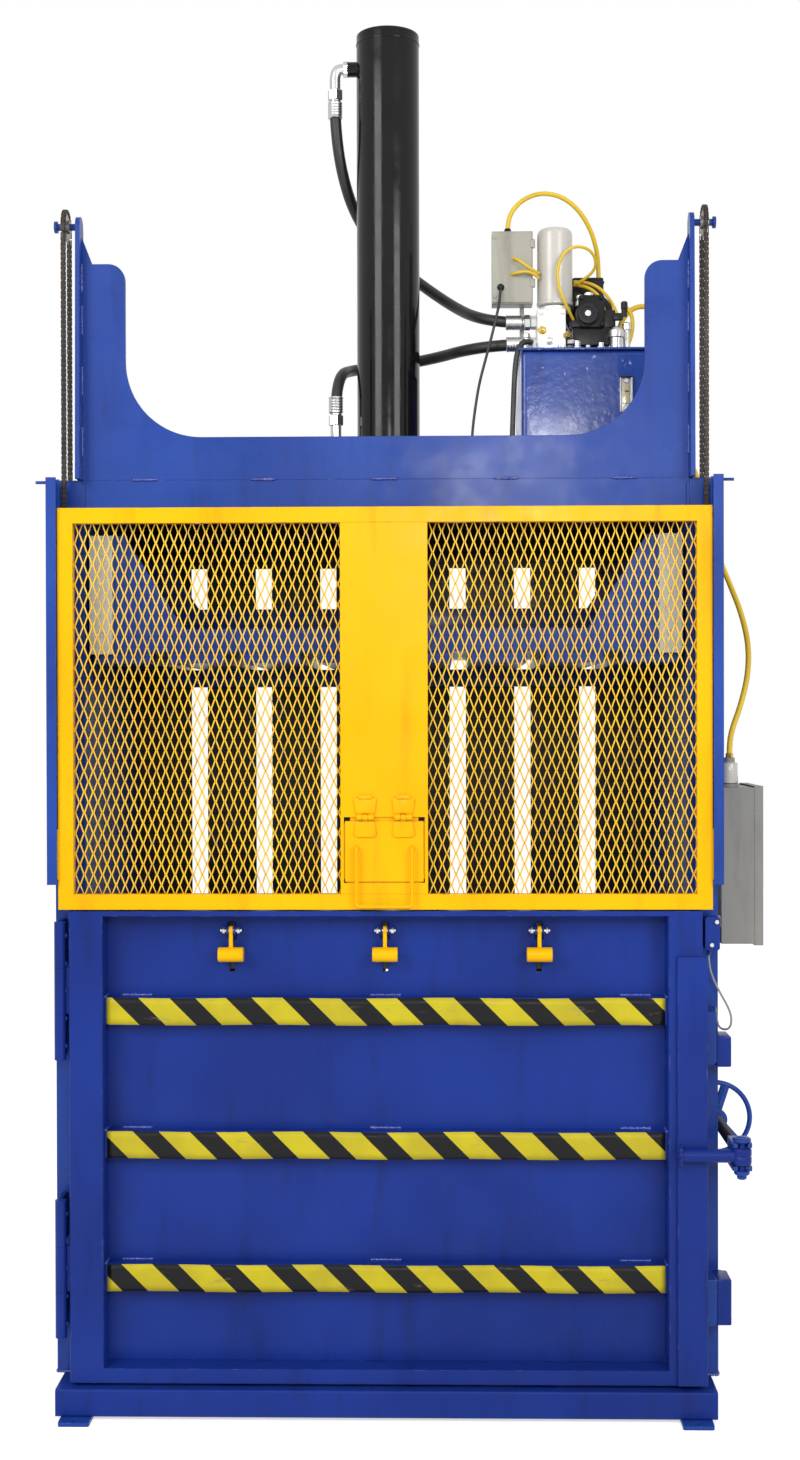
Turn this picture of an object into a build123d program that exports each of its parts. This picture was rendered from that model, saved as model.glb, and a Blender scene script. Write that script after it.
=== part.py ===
"""Vertical recycling baler with a lift gate, a swinging bale door and a top cylinder.

Millimetres. +Z up, the front faces -Y, +X is to the right of someone at the front.
The origin is on the floor, in the middle of the four anchor holes.
"""
from build123d import *
import math
import os

os.makedirs("parts", exist_ok=True)

# Whole frame: planes that several pieces share
PLATE = 8.0
CLEAR = 0.3
RUNNING = 0.05
ROOT_GAP = 0.1
SLIDE_GAP = 3.0
CHAMBER_HALF = 790.0
BODY_BACK = 450.0
COLUMN_FRONT = -415.0
COLUMN_SIZE_X, COLUMN_SIZE_Y, COLUMN_WALL = 72.0, 80.0, 4.0
WALL_OUTER = CHAMBER_HALF + PLATE
COLUMN_INNER = WALL_OUTER
COLUMN_OUTER = COLUMN_INNER + COLUMN_SIZE_X
FRAME_TOP = 2433.0
FLOOR_TOP = 95.0

# Ribs welded across the outside of the side walls
SIDE_RIB_LEVELS = (250.0, 480.0, 880.0, 1130.0, 1700.0, 2050.0, 2360.0)
SIDE_RIB_D, SIDE_RIB_H = 60.0, 50.0

# Base
FOOT_T, FOOT_X, FOOT_Y, FOOT_OUT = 10.0, 80.0, 140.0, 40.0
FOOT_FROM_SIDE, FOOT_CORNER = 14.0, 6.0
ANCHOR_R = 7.0
BASE_H, BASE_WALL = 71.0, 6.0
BASE_SILL, BASE_FRONT, BASE_BACK = 52.0, -545.0, 545.0
BASE_HALF_X = WALL_OUTER + BASE_SILL
BEAM_W = 80.0
BASE_TOP = FOOT_T + BASE_H

# Tie slots and channels
SLOT_PITCH, SLOT_FROM_WALL, SLOT_W = 200.0, 150.0, 50.0
SLOT_COUNT = 2 * int((CHAMBER_HALF - SLOT_FROM_WALL) / SLOT_PITCH) + 1
SLOT_LOW, SLOT_HIGH = 140.0, 2268.0
TIE_RIB_H = 30.0
BACK_T = 10.0
STIFFENER_W, STIFFENER_D = 60.0, 40.0

# Door
DOOR_LAP, DOOR_LOW, DOOR_HIGH = 18.0, 89.0, 1309.0
DOOR_HALF = COLUMN_INNER + DOOR_LAP
DOOR_FRONT, DOOR_DEPTH = -520.0, 75.0
STILE_W, DOOR_TOP_T, DOOR_LIP_H = 88.0, 13.0, 38.0
SKIN_T = 8.0
RIB_LEVELS = (355.0, 700.0, 1047.0)
RIB_H, RIB_D, RIB_T = 72.0, 44.0, 6.0

# Door hinges
HINGE_OUT, HINGE_Y = 26.0, -500.0
HINGE_X = -(DOOR_HALF + HINGE_OUT)
HINGE_SPANS = ((201.0, 558.0), (922.0, 1280.0))
HINGE_R, HINGE_PIN_R = 15.0, 8.0
LEAF_T = 12.0
KNUCKLES = 3

# Retainer dogs
DOG_PITCH, DOG_COUNT = 400.0, 3
DOG_PIVOT_Z, DOG_STEM_T, DOG_STEM_W = 1255.0, 10.0, 22.0
DOG_PIN_R, DOG_PIN_HALF = 5.0, 17.0
DOG_ROLL_R, DOG_ROLL_L, DOG_ROLL_DROP = 19.0, 66.0, 62.0
DOG_EAR_T, DOG_EAR_R = 5.0, 11.0
DOG_OUT = 24.0

# Latch
LATCH_Z = 688.0
LATCH_OUT = 40.0
LATCH_X = COLUMN_OUTER + LATCH_OUT
BAR_LAP, BAR_W, BAR_T, BAR_LOW, BAR_HIGH = 67.0, 78.0, 12.0, 92.0, 1192.0
BAR_X = (DOOR_HALF - BAR_LAP, DOOR_HALF - BAR_LAP + BAR_W)
ARM_R, ARM_INSET = 17.0, 7.0
ARM_START = BAR_X[0] + ARM_INSET
BOSS_W, BOSS_H = 50.0, 44.0
ARM_PIN_R, ARM_PIN_L = 11.0, 96.0
FORK_SLOT = 64.0
SCREW_R = 14.0
SCREW_BACK = -60.0
WHEEL_Y, WHEEL_R, WHEEL_RIM_R, WHEEL_SPOKES = -92.0, 97.0, 7.0, 3
HUB_R, HUB_L = 19.0, 34.0
NUT_PLATE_Y, NUT_PLATE_T = -140.0, 16.0
KEEPER_SPANS = ((912.0, 1049.0), (238.0, 357.0))
KEEPER_W, KEEPER_FRONT = 34.0, -505.0

# Gate
GATE_SIDE_GAP, GATE_LOW, GATE_HIGH = 28.0, 1313.0, 2349.0
GATE_HALF = COLUMN_OUTER - GATE_SIDE_GAP
GATE_FRONT, GATE_T, GATE_FRAME = -520.0, 30.0, 40.0
PANEL_W, PANEL_T = 225.0, 4.0
MESH_T, MESH_STRAND, MESH_COLUMNS, MESH_ROWS = 4.0, 9.0, 10, 9
FLAP_W, FLAP_LOW, FLAP_HIGH, FLAP_GAP = 202.0, 1385.0, 1548.0, 3.0
GRIP_W, GRIP_LOW, GRIP_HIGH, GRIP_R, GRIP_OUT = 143.0, 1322.0, 1474.0, 4.5, 16.0
FLAP_HINGE_X, FLAP_HINGE_L, FLAP_HINGE_R, FLAP_PIN_R = 49.0, 44.0, 7.0, 3.0
SHOE_LOW, SHOE_HIGH, SHOE_GAP = 1390.0, 1520.0, 3.0
RAIL_IN, RAIL_T, RAIL_LOW, RAIL_HIGH = 1.0, 8.0, 1378.0, 2427.0
RAIL_X = COLUMN_OUTER - RAIL_IN
RAIL_FLANGE, RAIL_FLANGE_T = 18.0, 5.0

# Counterbalance
SPROCKET_R, SPROCKET_T, SPROCKET_TEETH = 40.0, 9.0, 13
AXLE_Z, AXLE_R, CHAIN_FROM_COLUMN = 3098.0, 9.0, 38.0
CHAIN_X = COLUMN_INNER + CHAIN_FROM_COLUMN
CHAIN_PITCH, CHAIN_WIDE, CHAIN_NARROW, CHAIN_DEPTH = 38.1, 13.0, 9.0, 14.0
LUG_Z, LUG_H = 1420.0, 50.0
WEIGHT_TOP, WEIGHT_L, WEIGHT_X, WEIGHT_Y = 2300.0, 560.0, 56.0, 62.0
UPRIGHT_T, UPRIGHT_TOP_R = 12.0, 26.0
AXLE_L, AXLE_NUT = 58.0, 8.0
WRAP_LEG = 24.0
SPROCKET_HUB_R, SPROCKET_HUB_L = 17.0, 22.0

# Yoke and head
YOKE_SIDE_GAP, YOKE_T, YOKE_WEB_TOP, HORN_TOP, HORN_W = 2.0, 12.0, 2546.0, 3002.0, 114.0
YOKE_HALF = COLUMN_INNER - YOKE_SIDE_GAP
HORN_TIP_R, YOKE_SWEEP_R = 45.0, 200.0
HEADER_LOW, DECK_T = 2352.0, 12.0
CROSS_Y, CROSS_W, CROSS_H = 150.0, 60.0, 100.0

# Cylinder and platen
TUBE_R, BORE_R, TUBE_LOW, TUBE_HIGH, CAP_T = 89.0, 75.0, 2380.0, 3743.0, 40.0
ROD_R, GLAND_H, PISTON_H = 45.0, 60.0, 70.0
FLANGE_R, FLANGE_T = 135.0, 25.0
PLATEN_FACE, PLATEN_SIDE_GAP, PLATEN_FRONT, PLATEN_BACK = 1952.0, 5.0, -385.0, 425.0
PLATEN_EDGE_H, PLATEN_T = 74.0, 12.0
PAD_W, PAD_LOW, PAD_HIGH, PAD_T = 60.0, 1970.0, 2289.0, 12.0
GUSSET_FOOT, GUSSET_HEAD, GUSSET_T = 260.0, 95.0, 12.0
PORT_DROP, PORT_R, PORT_L = 93.0, 21.0, 26.0

# Power unit, seen over the yoke on the right
TANK_FROM_SIDE, TANK_L, TANK_Y, TANK_TOP, TANK_CORNER = 54.0, 370.0, (-130.0, 250.0), 2830.0, 3.0
TANK_X = (YOKE_HALF - TANK_FROM_SIDE - TANK_L, YOKE_HALF - TANK_FROM_SIDE)
TANK_SKIN, TANK_LID_T, TANK_LID_OUT = 4.0, 6.0, 8.0
TANK_LOW = FRAME_TOP + CROSS_H
GAUGE_X, GAUGE_W, GAUGE_LOW, GAUGE_HIGH, GAUGE_T = TANK_X[1] - 81.0, 38.0, 2650.0, 2748.0, 12.0
FILTER_X, FILTER_Y, FILTER_R, FILTER_HIGH = TANK_X[0] + 98.0, -50.0, 51.0, 3180.0
MANIFOLD_X, MANIFOLD_Y, MANIFOLD_HIGH = (TANK_X[0] + 46.0, TANK_X[0] + 126.0), (-95.0, -5.0), 2961.0
MOTOR_X, MOTOR_Y, MOTOR_Z, MOTOR_R, MOTOR_L = TANK_X[0] + 200.0, 110.0, 2947.0, 72.0, 220.0
MOTOR_FINS, MOTOR_FIN_H, MOTOR_FOOT = 18, 6.0, 50.0
PUMP_R, PUMP_L, PUMP_CAP_R = 50.0, 70.0, 31.0
TERMINAL_W, TERMINAL_L, TERMINAL_H = 90.0, 110.0, 66.0
BREATHER_X, BREATHER_Y, BREATHER_R, BREATHER_H = TANK_X[1] - 71.0, -60.0, 20.0, 125.0
JUNCTION_X, JUNCTION_Y, JUNCTION_Z = (TANK_X[0] - 79.0, TANK_X[0] + 35.0), (-75.0, -15.0), (2966.0, 3168.0)
ELBOW_X, ELBOW_R, ELBOW_BEND, ELBOW_NUT_R, ELBOW_NUT_L = -150.0, 15.0, 20.0, 22.0, 26.0
ELBOW_LOW_Z, ELBOW_END, ELBOW_DROP = 2585.0, 2640.0, 60.0

# Controls
CONTROL_OUT, CONTROL_D, CONTROL_Y, CONTROL_Z = 15.0, 87.0, (-380.0, -120.0), (1208.0, 1620.0)
CONTROL_X = (COLUMN_OUTER + CONTROL_OUT, COLUMN_OUTER + CONTROL_OUT + CONTROL_D)
CONTROL_WALL, LID_T, LID_SIDE = 2.0, 23.0, 12.0
LID_PIN_R = 3.0
BUTTON_R, BUTTON_HEAD_R, BUTTON_L, BUTTON_TRAVEL, BUTTON_GAP = 11.0, 16.0, 16.0, 6.0, 0.5
BUTTON_LEVELS = {"start_button": 1540.0, "stop_button": 1450.0}
GLAND_X, GLAND_Y, GLAND_R, GLAND_H = CONTROL_X[0] + 26.0, -350.0, 20.0, 64.0
SWITCH_LOW, SWITCH_H, SWITCH_W, SWITCH_T = 1207.0, 85.0, 38.0, 40.0
SWITCH_X = (COLUMN_OUTER - SWITCH_W - 8.0, COLUMN_OUTER - 8.0)
SWITCH_Z = (SWITCH_LOW, SWITCH_LOW + SWITCH_H)

# Hoses and cables: diameter and the points of each route
HOSE_D, YELLOW_D, CONDUIT_D, THIN_D = 32.0, 13.0, 15.0, 5.5


def slab(x, y, z, mode=Mode.ADD):
    """A block between two values on each axis."""
    with Locations(((x[0] + x[1]) / 2, (y[0] + y[1]) / 2, (z[0] + z[1]) / 2)):
        Box(x[1] - x[0], y[1] - y[0], z[1] - z[0], mode=mode)


def rod(centre, radius, length, axis, mode=Mode.ADD):
    """A round bar centred on a point, along a named axis."""
    turn = {"X": (0, 90, 0), "Y": (90, 0, 0), "Z": (0, 0, 0)}[axis]
    with Locations(Location(centre, turn)):
        Cylinder(radius, length, mode=mode)


def save(builder, name):
    """Label a finished piece and write it."""
    builder.part.label = name
    export_step(builder.part, f"parts/{name}.step")


def span(a, b):
    return (min(a, b), max(a, b))


SIDES = {"left": -1, "right": 1}
SLOT_XS = [(i - (SLOT_COUNT - 1) / 2) * SLOT_PITCH for i in range(SLOT_COUNT)]
DOOR_BACK = DOOR_FRONT + DOOR_DEPTH
KEEPER_IN = DOOR_HALF + SLIDE_GAP
SKIN_FRONT = DOOR_BACK - SKIN_T
STILE_INNER = DOOR_HALF - STILE_W
COLUMN_BACK = COLUMN_FRONT + COLUMN_SIZE_Y
GATE_BACK = GATE_FRONT + GATE_T
AXLE_Y = COLUMN_FRONT
YOKE_FRONT = COLUMN_FRONT - YOKE_T / 2 + 10.0
YOKE_BACK = YOKE_FRONT + YOKE_T
UPRIGHT_X = YOKE_HALF

# Base: welded tube rectangle with a runner under each tie slot's neighbour
with BuildPart() as base_frame:
    slab((-BASE_HALF_X, BASE_HALF_X), (BASE_FRONT, BASE_BACK), (FOOT_T, BASE_TOP))
    inner = BASE_HALF_X - BEAM_W
    slab((-inner, inner), (BASE_FRONT + BEAM_W, BASE_BACK - BEAM_W), (FOOT_T, BASE_TOP), Mode.SUBTRACT)
    for x in (SLOT_XS[1], SLOT_XS[-2]):
        slab((x - BEAM_W / 2, x + BEAM_W / 2), (BASE_FRONT + BEAM_W, BASE_BACK - BEAM_W), (FOOT_T, BASE_TOP))
    fillet(base_frame.edges().filter_by(Axis.X).group_by(Axis.Y)[0], BASE_WALL)
save(base_frame, "base_frame")

# Feet: flat plates that stick out past the base, drilled for floor anchors
ANCHOR_X = BASE_HALF_X - FOOT_FROM_SIDE - FOOT_X / 2
ANCHOR_Y = BASE_BACK + FOOT_OUT / 2
FOOT_CENTRE_Y = BASE_BACK + FOOT_OUT - FOOT_Y / 2
with BuildPart() as anchor_feet:
    with BuildSketch(Plane.XY):
        with GridLocations(2 * ANCHOR_X, 2 * FOOT_CENTRE_Y, 2, 2):
            RectangleRounded(FOOT_X, FOOT_Y, FOOT_CORNER)
        with GridLocations(2 * ANCHOR_X, 2 * ANCHOR_Y, 2, 2):
            Circle(ANCHOR_R, mode=Mode.SUBTRACT)
    extrude(amount=FOOT_T)
save(anchor_feet, "anchor_feet")

# Floor of the chamber: plate with hat ribs, the tie channels run between them
with BuildPart() as floor_plate:
    slab((-CHAMBER_HALF, CHAMBER_HALF), (BASE_FRONT + BEAM_W + 60.0, BODY_BACK), (BASE_TOP, FLOOR_TOP))
    edges = [-CHAMBER_HALF] + SLOT_XS + [CHAMBER_HALF]
    for a, b in zip(edges, edges[1:]):
        low = a + (SLOT_W / 2 if a in SLOT_XS else 12.0)
        high = b - (SLOT_W / 2 if b in SLOT_XS else 12.0)
        with BuildSketch(Plane.XZ.offset(-(BASE_FRONT + BEAM_W + 70.0))):
            with BuildLine():
                Polyline((low, FLOOR_TOP), (high, FLOOR_TOP), (high - TIE_RIB_H / 3, FLOOR_TOP + TIE_RIB_H),
                         (low + TIE_RIB_H / 3, FLOOR_TOP + TIE_RIB_H), close=True)
            make_face()
        extrude(amount=-(BODY_BACK - 20.0 - (BASE_FRONT + BEAM_W + 70.0)))
save(floor_plate, "floor_plate")

# Side walls and the two front columns; each column is a tube that hides a counterweight.
# The right column carries the two keeper blocks that the door's edge closes against.
with BuildPart() as side_walls:
    for s in SIDES.values():
        slab(span(s * CHAMBER_HALF, s * WALL_OUTER), (COLUMN_FRONT, BODY_BACK), (BASE_TOP, FRAME_TOP - DECK_T))
        for z in SIDE_RIB_LEVELS:
            slab(span(s * (WALL_OUTER + ROOT_GAP), s * (WALL_OUTER + SIDE_RIB_D)), (COLUMN_BACK, BODY_BACK),
                 (z - SIDE_RIB_H / 2, z + SIDE_RIB_H / 2))
save(side_walls, "side_walls")

with BuildPart() as columns:
    for s in SIDES.values():
        slab(span(s * COLUMN_INNER, s * COLUMN_OUTER), (COLUMN_FRONT, COLUMN_BACK), (BASE_TOP, FRAME_TOP))
        slab(span(s * (COLUMN_INNER + COLUMN_WALL), s * (COLUMN_OUTER - COLUMN_WALL)),
             (COLUMN_FRONT + COLUMN_WALL, COLUMN_BACK - COLUMN_WALL),
             (BASE_TOP + COLUMN_WALL, FRAME_TOP), Mode.SUBTRACT)
    for low, high in KEEPER_SPANS:
        slab((KEEPER_IN, KEEPER_IN + KEEPER_W), (KEEPER_FRONT, COLUMN_FRONT), (low, high))
        fillet(columns.edges().filter_by(Axis.Y).sort_by_distance((KEEPER_IN + KEEPER_W, KEEPER_FRONT, low))[0], 12.0)
save(columns, "columns")

# Back wall with a tie slot between each pair of stiffeners
with BuildPart() as back_wall:
    slab((-WALL_OUTER, WALL_OUTER), (BODY_BACK, BODY_BACK + BACK_T), (BASE_TOP, FRAME_TOP - DECK_T))
    for x in SLOT_XS:
        slab((x - SLOT_W / 2, x + SLOT_W / 2), (BODY_BACK - 1, BODY_BACK + BACK_T + 1), (SLOT_LOW, SLOT_HIGH),
             Mode.SUBTRACT)
    for x in [x + SLOT_PITCH / 2 for x in SLOT_XS[:-1]]:
        with BuildSketch(Plane.XY.offset(SLOT_LOW)):
            with BuildLine():
                Polyline((x - STIFFENER_W / 2 - 12, BODY_BACK + BACK_T), (x + STIFFENER_W / 2 + 12, BODY_BACK + BACK_T),
                         (x + STIFFENER_W / 2, BODY_BACK + BACK_T + STIFFENER_D),
                         (x - STIFFENER_W / 2, BODY_BACK + BACK_T + STIFFENER_D), close=True)
            make_face()
        extrude(amount=SLOT_HIGH - SLOT_LOW)
save(back_wall, "back_wall")

# Gate rails: a deep web welded on the column, with two lips that hold the gate's shoes
with BuildPart() as gate_rails:
    for s in SIDES.values():
        slab(span(s * (RAIL_X - RAIL_T), s * RAIL_X), (GATE_FRONT - 10.0, COLUMN_FRONT), (RAIL_LOW, RAIL_HIGH))
        for y in (GATE_FRONT - 10.0, GATE_BACK + 5.0):
            slab(span(s * (RAIL_X - RAIL_T - RAIL_FLANGE), s * (RAIL_X - RAIL_T)), (y, y + RAIL_FLANGE_T),
                 (RAIL_LOW, RAIL_HIGH))
        rod((s * (RAIL_X + 14.0), GATE_FRONT + 5.0, RAIL_HIGH - 12.0), 4.0, 28.0, "X")
save(gate_rails, "gate_rails")

# Top deck with the hole that the cylinder stands in, the header under its front edge
# and the two crosshead channels that carry the cylinder's flange
with BuildPart() as top_deck:
    slab((-CHAMBER_HALF, CHAMBER_HALF), (YOKE_FRONT, YOKE_FRONT + 70.0), (HEADER_LOW, FRAME_TOP - DECK_T))
    slab((-CHAMBER_HALF, CHAMBER_HALF), (YOKE_FRONT + 6.0, YOKE_FRONT + 71.0),
         (HEADER_LOW - 1, FRAME_TOP - DECK_T - 6.0), Mode.SUBTRACT)
    slab((-WALL_OUTER, WALL_OUTER), (YOKE_FRONT, BODY_BACK + BACK_T), (FRAME_TOP - DECK_T, FRAME_TOP))
    rod((0, 0, FRAME_TOP), TUBE_R + 1.0, DECK_T * 4, "Z", Mode.SUBTRACT)
    for y in (-CROSS_Y, CROSS_Y):
        slab((-WALL_OUTER + 10.0, WALL_OUTER - 10.0), (y - CROSS_W / 2, y + CROSS_W / 2), (FRAME_TOP, FRAME_TOP + CROSS_H))
        out = math.copysign(CROSS_W, y)
        slab((-WALL_OUTER, WALL_OUTER), span(y + out / 2 - math.copysign(8.0, y) * 6, y + out / 2 + out),
             (FRAME_TOP + 8.0, FRAME_TOP + CROSS_H - 8.0), Mode.SUBTRACT)
save(top_deck, "top_deck")

# Yoke: one plate cut to a wide U, its horns stiffen the chain uprights
with BuildPart() as yoke_plate:
    with BuildSketch(Plane.XZ.offset(-YOKE_FRONT)):
        horn_in = YOKE_HALF - HORN_W
        with BuildLine():
            Polyline((-YOKE_HALF, FRAME_TOP), (YOKE_HALF, FRAME_TOP), (YOKE_HALF, HORN_TOP + 70.0),
                     (YOKE_HALF - HORN_TIP_R * 0.6, HORN_TOP), (horn_in, HORN_TOP), (horn_in, YOKE_WEB_TOP),
                     (-horn_in, YOKE_WEB_TOP), (-horn_in, HORN_TOP), (-YOKE_HALF + HORN_TIP_R * 0.6, HORN_TOP),
                     (-YOKE_HALF, HORN_TOP + 70.0), close=True)
        make_face()
    extrude(amount=-YOKE_T)
    fillet(yoke_plate.edges().filter_by(Axis.Y).filter_by(
        lambda e: abs(abs(e.center().X) - horn_in) < 1 and abs(e.center().Z - YOKE_WEB_TOP) < 1), YOKE_SWEEP_R)
    fillet(yoke_plate.edges().filter_by(Axis.Y).filter_by(
        lambda e: abs(abs(e.center().X) - horn_in) < 1 and abs(e.center().Z - HORN_TOP) < 1), HORN_TIP_R)
save(yoke_plate, "yoke_plate")

# Chain uprights: a side-on plate at each end of the yoke, with the sprocket axle through its tip
with BuildPart() as chain_uprights:
    for s in SIDES.values():
        with BuildSketch(Plane.YZ.offset(s * UPRIGHT_X)):
            with BuildLine():
                Polyline((AXLE_Y - UPRIGHT_TOP_R, AXLE_Z), (AXLE_Y - 40.0, FRAME_TOP), (COLUMN_BACK, FRAME_TOP),
                         (COLUMN_BACK, FRAME_TOP + 120.0), (AXLE_Y + UPRIGHT_TOP_R, AXLE_Z), close=True)
            make_face()
            with Locations((AXLE_Y, AXLE_Z)):
                Circle(UPRIGHT_TOP_R)
        extrude(amount=s * UPRIGHT_T)
        with Locations(Location((s * (UPRIGHT_X + UPRIGHT_T), AXLE_Y, AXLE_Z), (0, s * 90, 0))):
            Cylinder(AXLE_R, AXLE_L, align=(Align.CENTER, Align.CENTER, Align.MIN))
            with Locations((0, 0, AXLE_L - AXLE_NUT)):
                Cylinder(AXLE_R * 1.7, AXLE_NUT, align=(Align.CENTER, Align.CENTER, Align.MIN))
save(chain_uprights, "chain_uprights")

# Sprockets: toothed disc with a hub, free to turn on the axle
SPROCKET_BORE = AXLE_R + RUNNING
ROOT_R = SPROCKET_R - CHAIN_DEPTH / 2 - 1.0
for name, s in SIDES.items():
    with BuildPart() as sprocket:
        with BuildSketch(Plane.YZ.offset(s * CHAIN_X - SPROCKET_T / 2)):
            with Locations((AXLE_Y, AXLE_Z)):
                Circle(ROOT_R)
                with PolarLocations(ROOT_R - 1.0, SPROCKET_TEETH):
                    Trapezoid(9.0, 7.0, 68, rotation=-90, align=(Align.CENTER, Align.MIN))
                Circle(SPROCKET_BORE, mode=Mode.SUBTRACT)
        extrude(amount=SPROCKET_T)
        with BuildSketch(Plane.YZ.offset(s * CHAIN_X - SPROCKET_HUB_L / 2)):
            with Locations((AXLE_Y, AXLE_Z)):
                Circle(SPROCKET_HUB_R)
                Circle(SPROCKET_BORE, mode=Mode.SUBTRACT)
        extrude(amount=SPROCKET_HUB_L)
    save(sprocket, f"sprocket_{name}")


def chain_strand(x, y, low, high):
    """A straight strand, its outline stepping from outer to inner link plates."""
    half = [CHAIN_WIDE / 2, CHAIN_NARROW / 2]
    count = int((high - low) // (CHAIN_PITCH / 2))
    step = (high - low) / count
    points = []
    for i in range(count):
        points += [(half[i % 2], low + i * step), (half[i % 2], low + (i + 1) * step)]
    points += [(-px, pz) for px, pz in reversed(points)]
    with BuildPart() as strand:
        with BuildSketch(Plane.XZ.offset(-(y - CHAIN_DEPTH / 2))):
            with BuildLine():
                Polyline(*[(x + px, pz) for px, pz in points], close=True)
            make_face()
        extrude(amount=-CHAIN_DEPTH)
    return strand


STRAND_TOP = AXLE_Z - WRAP_LEG
CHAIN_FRONT_Y = AXLE_Y - SPROCKET_R
CHAIN_REAR_Y = AXLE_Y + SPROCKET_R
for name, s in SIDES.items():
    chain_front = chain_strand(s * CHAIN_X, CHAIN_FRONT_Y, LUG_Z + LUG_H, STRAND_TOP)
    save(chain_front, f"chain_front_{name}")
    chain_rear = chain_strand(s * CHAIN_X, CHAIN_REAR_Y, WEIGHT_TOP + LUG_H, STRAND_TOP)
    save(chain_rear, f"chain_rear_{name}")
    with BuildPart() as counterweight:
        middle = s * (COLUMN_INNER + COLUMN_OUTER) / 2
        slab((middle - WEIGHT_X / 2, middle + WEIGHT_X / 2), (CHAIN_REAR_Y - WEIGHT_Y / 2, CHAIN_REAR_Y + WEIGHT_Y / 2),
             (WEIGHT_TOP - WEIGHT_L, WEIGHT_TOP))
        chamfer(counterweight.edges().filter_by(Axis.Z), 4.0)
        slab((s * CHAIN_X - CHAIN_NARROW / 2, s * CHAIN_X + CHAIN_NARROW / 2),
             (CHAIN_REAR_Y - CHAIN_DEPTH / 2, CHAIN_REAR_Y + CHAIN_DEPTH / 2), (WEIGHT_TOP, WEIGHT_TOP + LUG_H))
    save(counterweight, f"counterweight_{name}")

# Lift gate: square tube frame with a lug behind each stile that takes the chain
MESH_EDGES = ((-(GATE_HALF - GATE_FRAME), -PANEL_W / 2), (PANEL_W / 2, GATE_HALF - GATE_FRAME))
MESH_LOW, MESH_HIGH = GATE_LOW + GATE_FRAME, GATE_HIGH - GATE_FRAME
with BuildPart() as gate_frame:
    slab((-GATE_HALF, GATE_HALF), (GATE_FRONT, GATE_BACK), (GATE_LOW, GATE_HIGH))
    inner = GATE_HALF - GATE_FRAME
    slab((-inner, inner), (GATE_FRONT, GATE_BACK), (MESH_LOW, MESH_HIGH), Mode.SUBTRACT)
    for s in SIDES.values():
        slab(span(s * GATE_HALF, s * (RAIL_X - RAIL_T - SHOE_GAP)), (GATE_FRONT, GATE_BACK), (SHOE_LOW, SHOE_HIGH))
        slab((s * CHAIN_X - CHAIN_NARROW / 2, s * CHAIN_X + CHAIN_NARROW / 2),
             (GATE_BACK, CHAIN_FRONT_Y + CHAIN_DEPTH / 2), (LUG_Z, LUG_Z + LUG_H))
save(gate_frame, "gate_frame")

# Mesh panels: expanded steel; every diamond stands for a few of the real ones
with BuildPart() as gate_mesh:
    for x0, x1 in MESH_EDGES:
        middle_y = GATE_FRONT + GATE_T / 2
        with BuildSketch(Plane.XZ.offset(-(middle_y - MESH_T / 2))):
            with Locations(((x0 + x1) / 2, (MESH_LOW + MESH_HIGH) / 2)):
                Rectangle(x1 - x0, MESH_HIGH - MESH_LOW)
                step_x = (x1 - x0 - MESH_STRAND) / MESH_COLUMNS
                step_z = (MESH_HIGH - MESH_LOW - MESH_STRAND) / MESH_ROWS
                with GridLocations(step_x, step_z, MESH_COLUMNS, MESH_ROWS):
                    half_x, half_z = (step_x - MESH_STRAND) / 2, (step_z - MESH_STRAND) / 2
                    Polygon((-half_x, 0), (0, -half_z), (half_x, 0), (0, half_z), mode=Mode.SUBTRACT)
        extrude(amount=-MESH_T)
save(gate_mesh, "gate_mesh")

# The stretch of chain that lies over each sprocket, grooved where the teeth come through
with BuildPart() as chain_wraps:
    for s in SIDES.values():
        with BuildSketch(Plane.YZ.offset(s * CHAIN_X - CHAIN_WIDE / 2)):
            with Locations((AXLE_Y, AXLE_Z)):
                Circle(SPROCKET_R + CHAIN_DEPTH / 2)
                Circle(SPROCKET_R - CHAIN_DEPTH / 2, mode=Mode.SUBTRACT)
                Rectangle(4 * SPROCKET_R, 2 * SPROCKET_R, align=(Align.CENTER, Align.MAX), mode=Mode.SUBTRACT)
            with Locations((CHAIN_FRONT_Y, AXLE_Z), (CHAIN_REAR_Y, AXLE_Z)):
                Rectangle(CHAIN_DEPTH, AXLE_Z - STRAND_TOP, align=(Align.CENTER, Align.MAX))
        extrude(amount=CHAIN_WIDE)
        rod((s * CHAIN_X, AXLE_Y, AXLE_Z), SPROCKET_R + 1.0, SPROCKET_T + 2 * CLEAR, "X", Mode.SUBTRACT)
save(chain_wraps, "chain_wraps")

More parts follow.
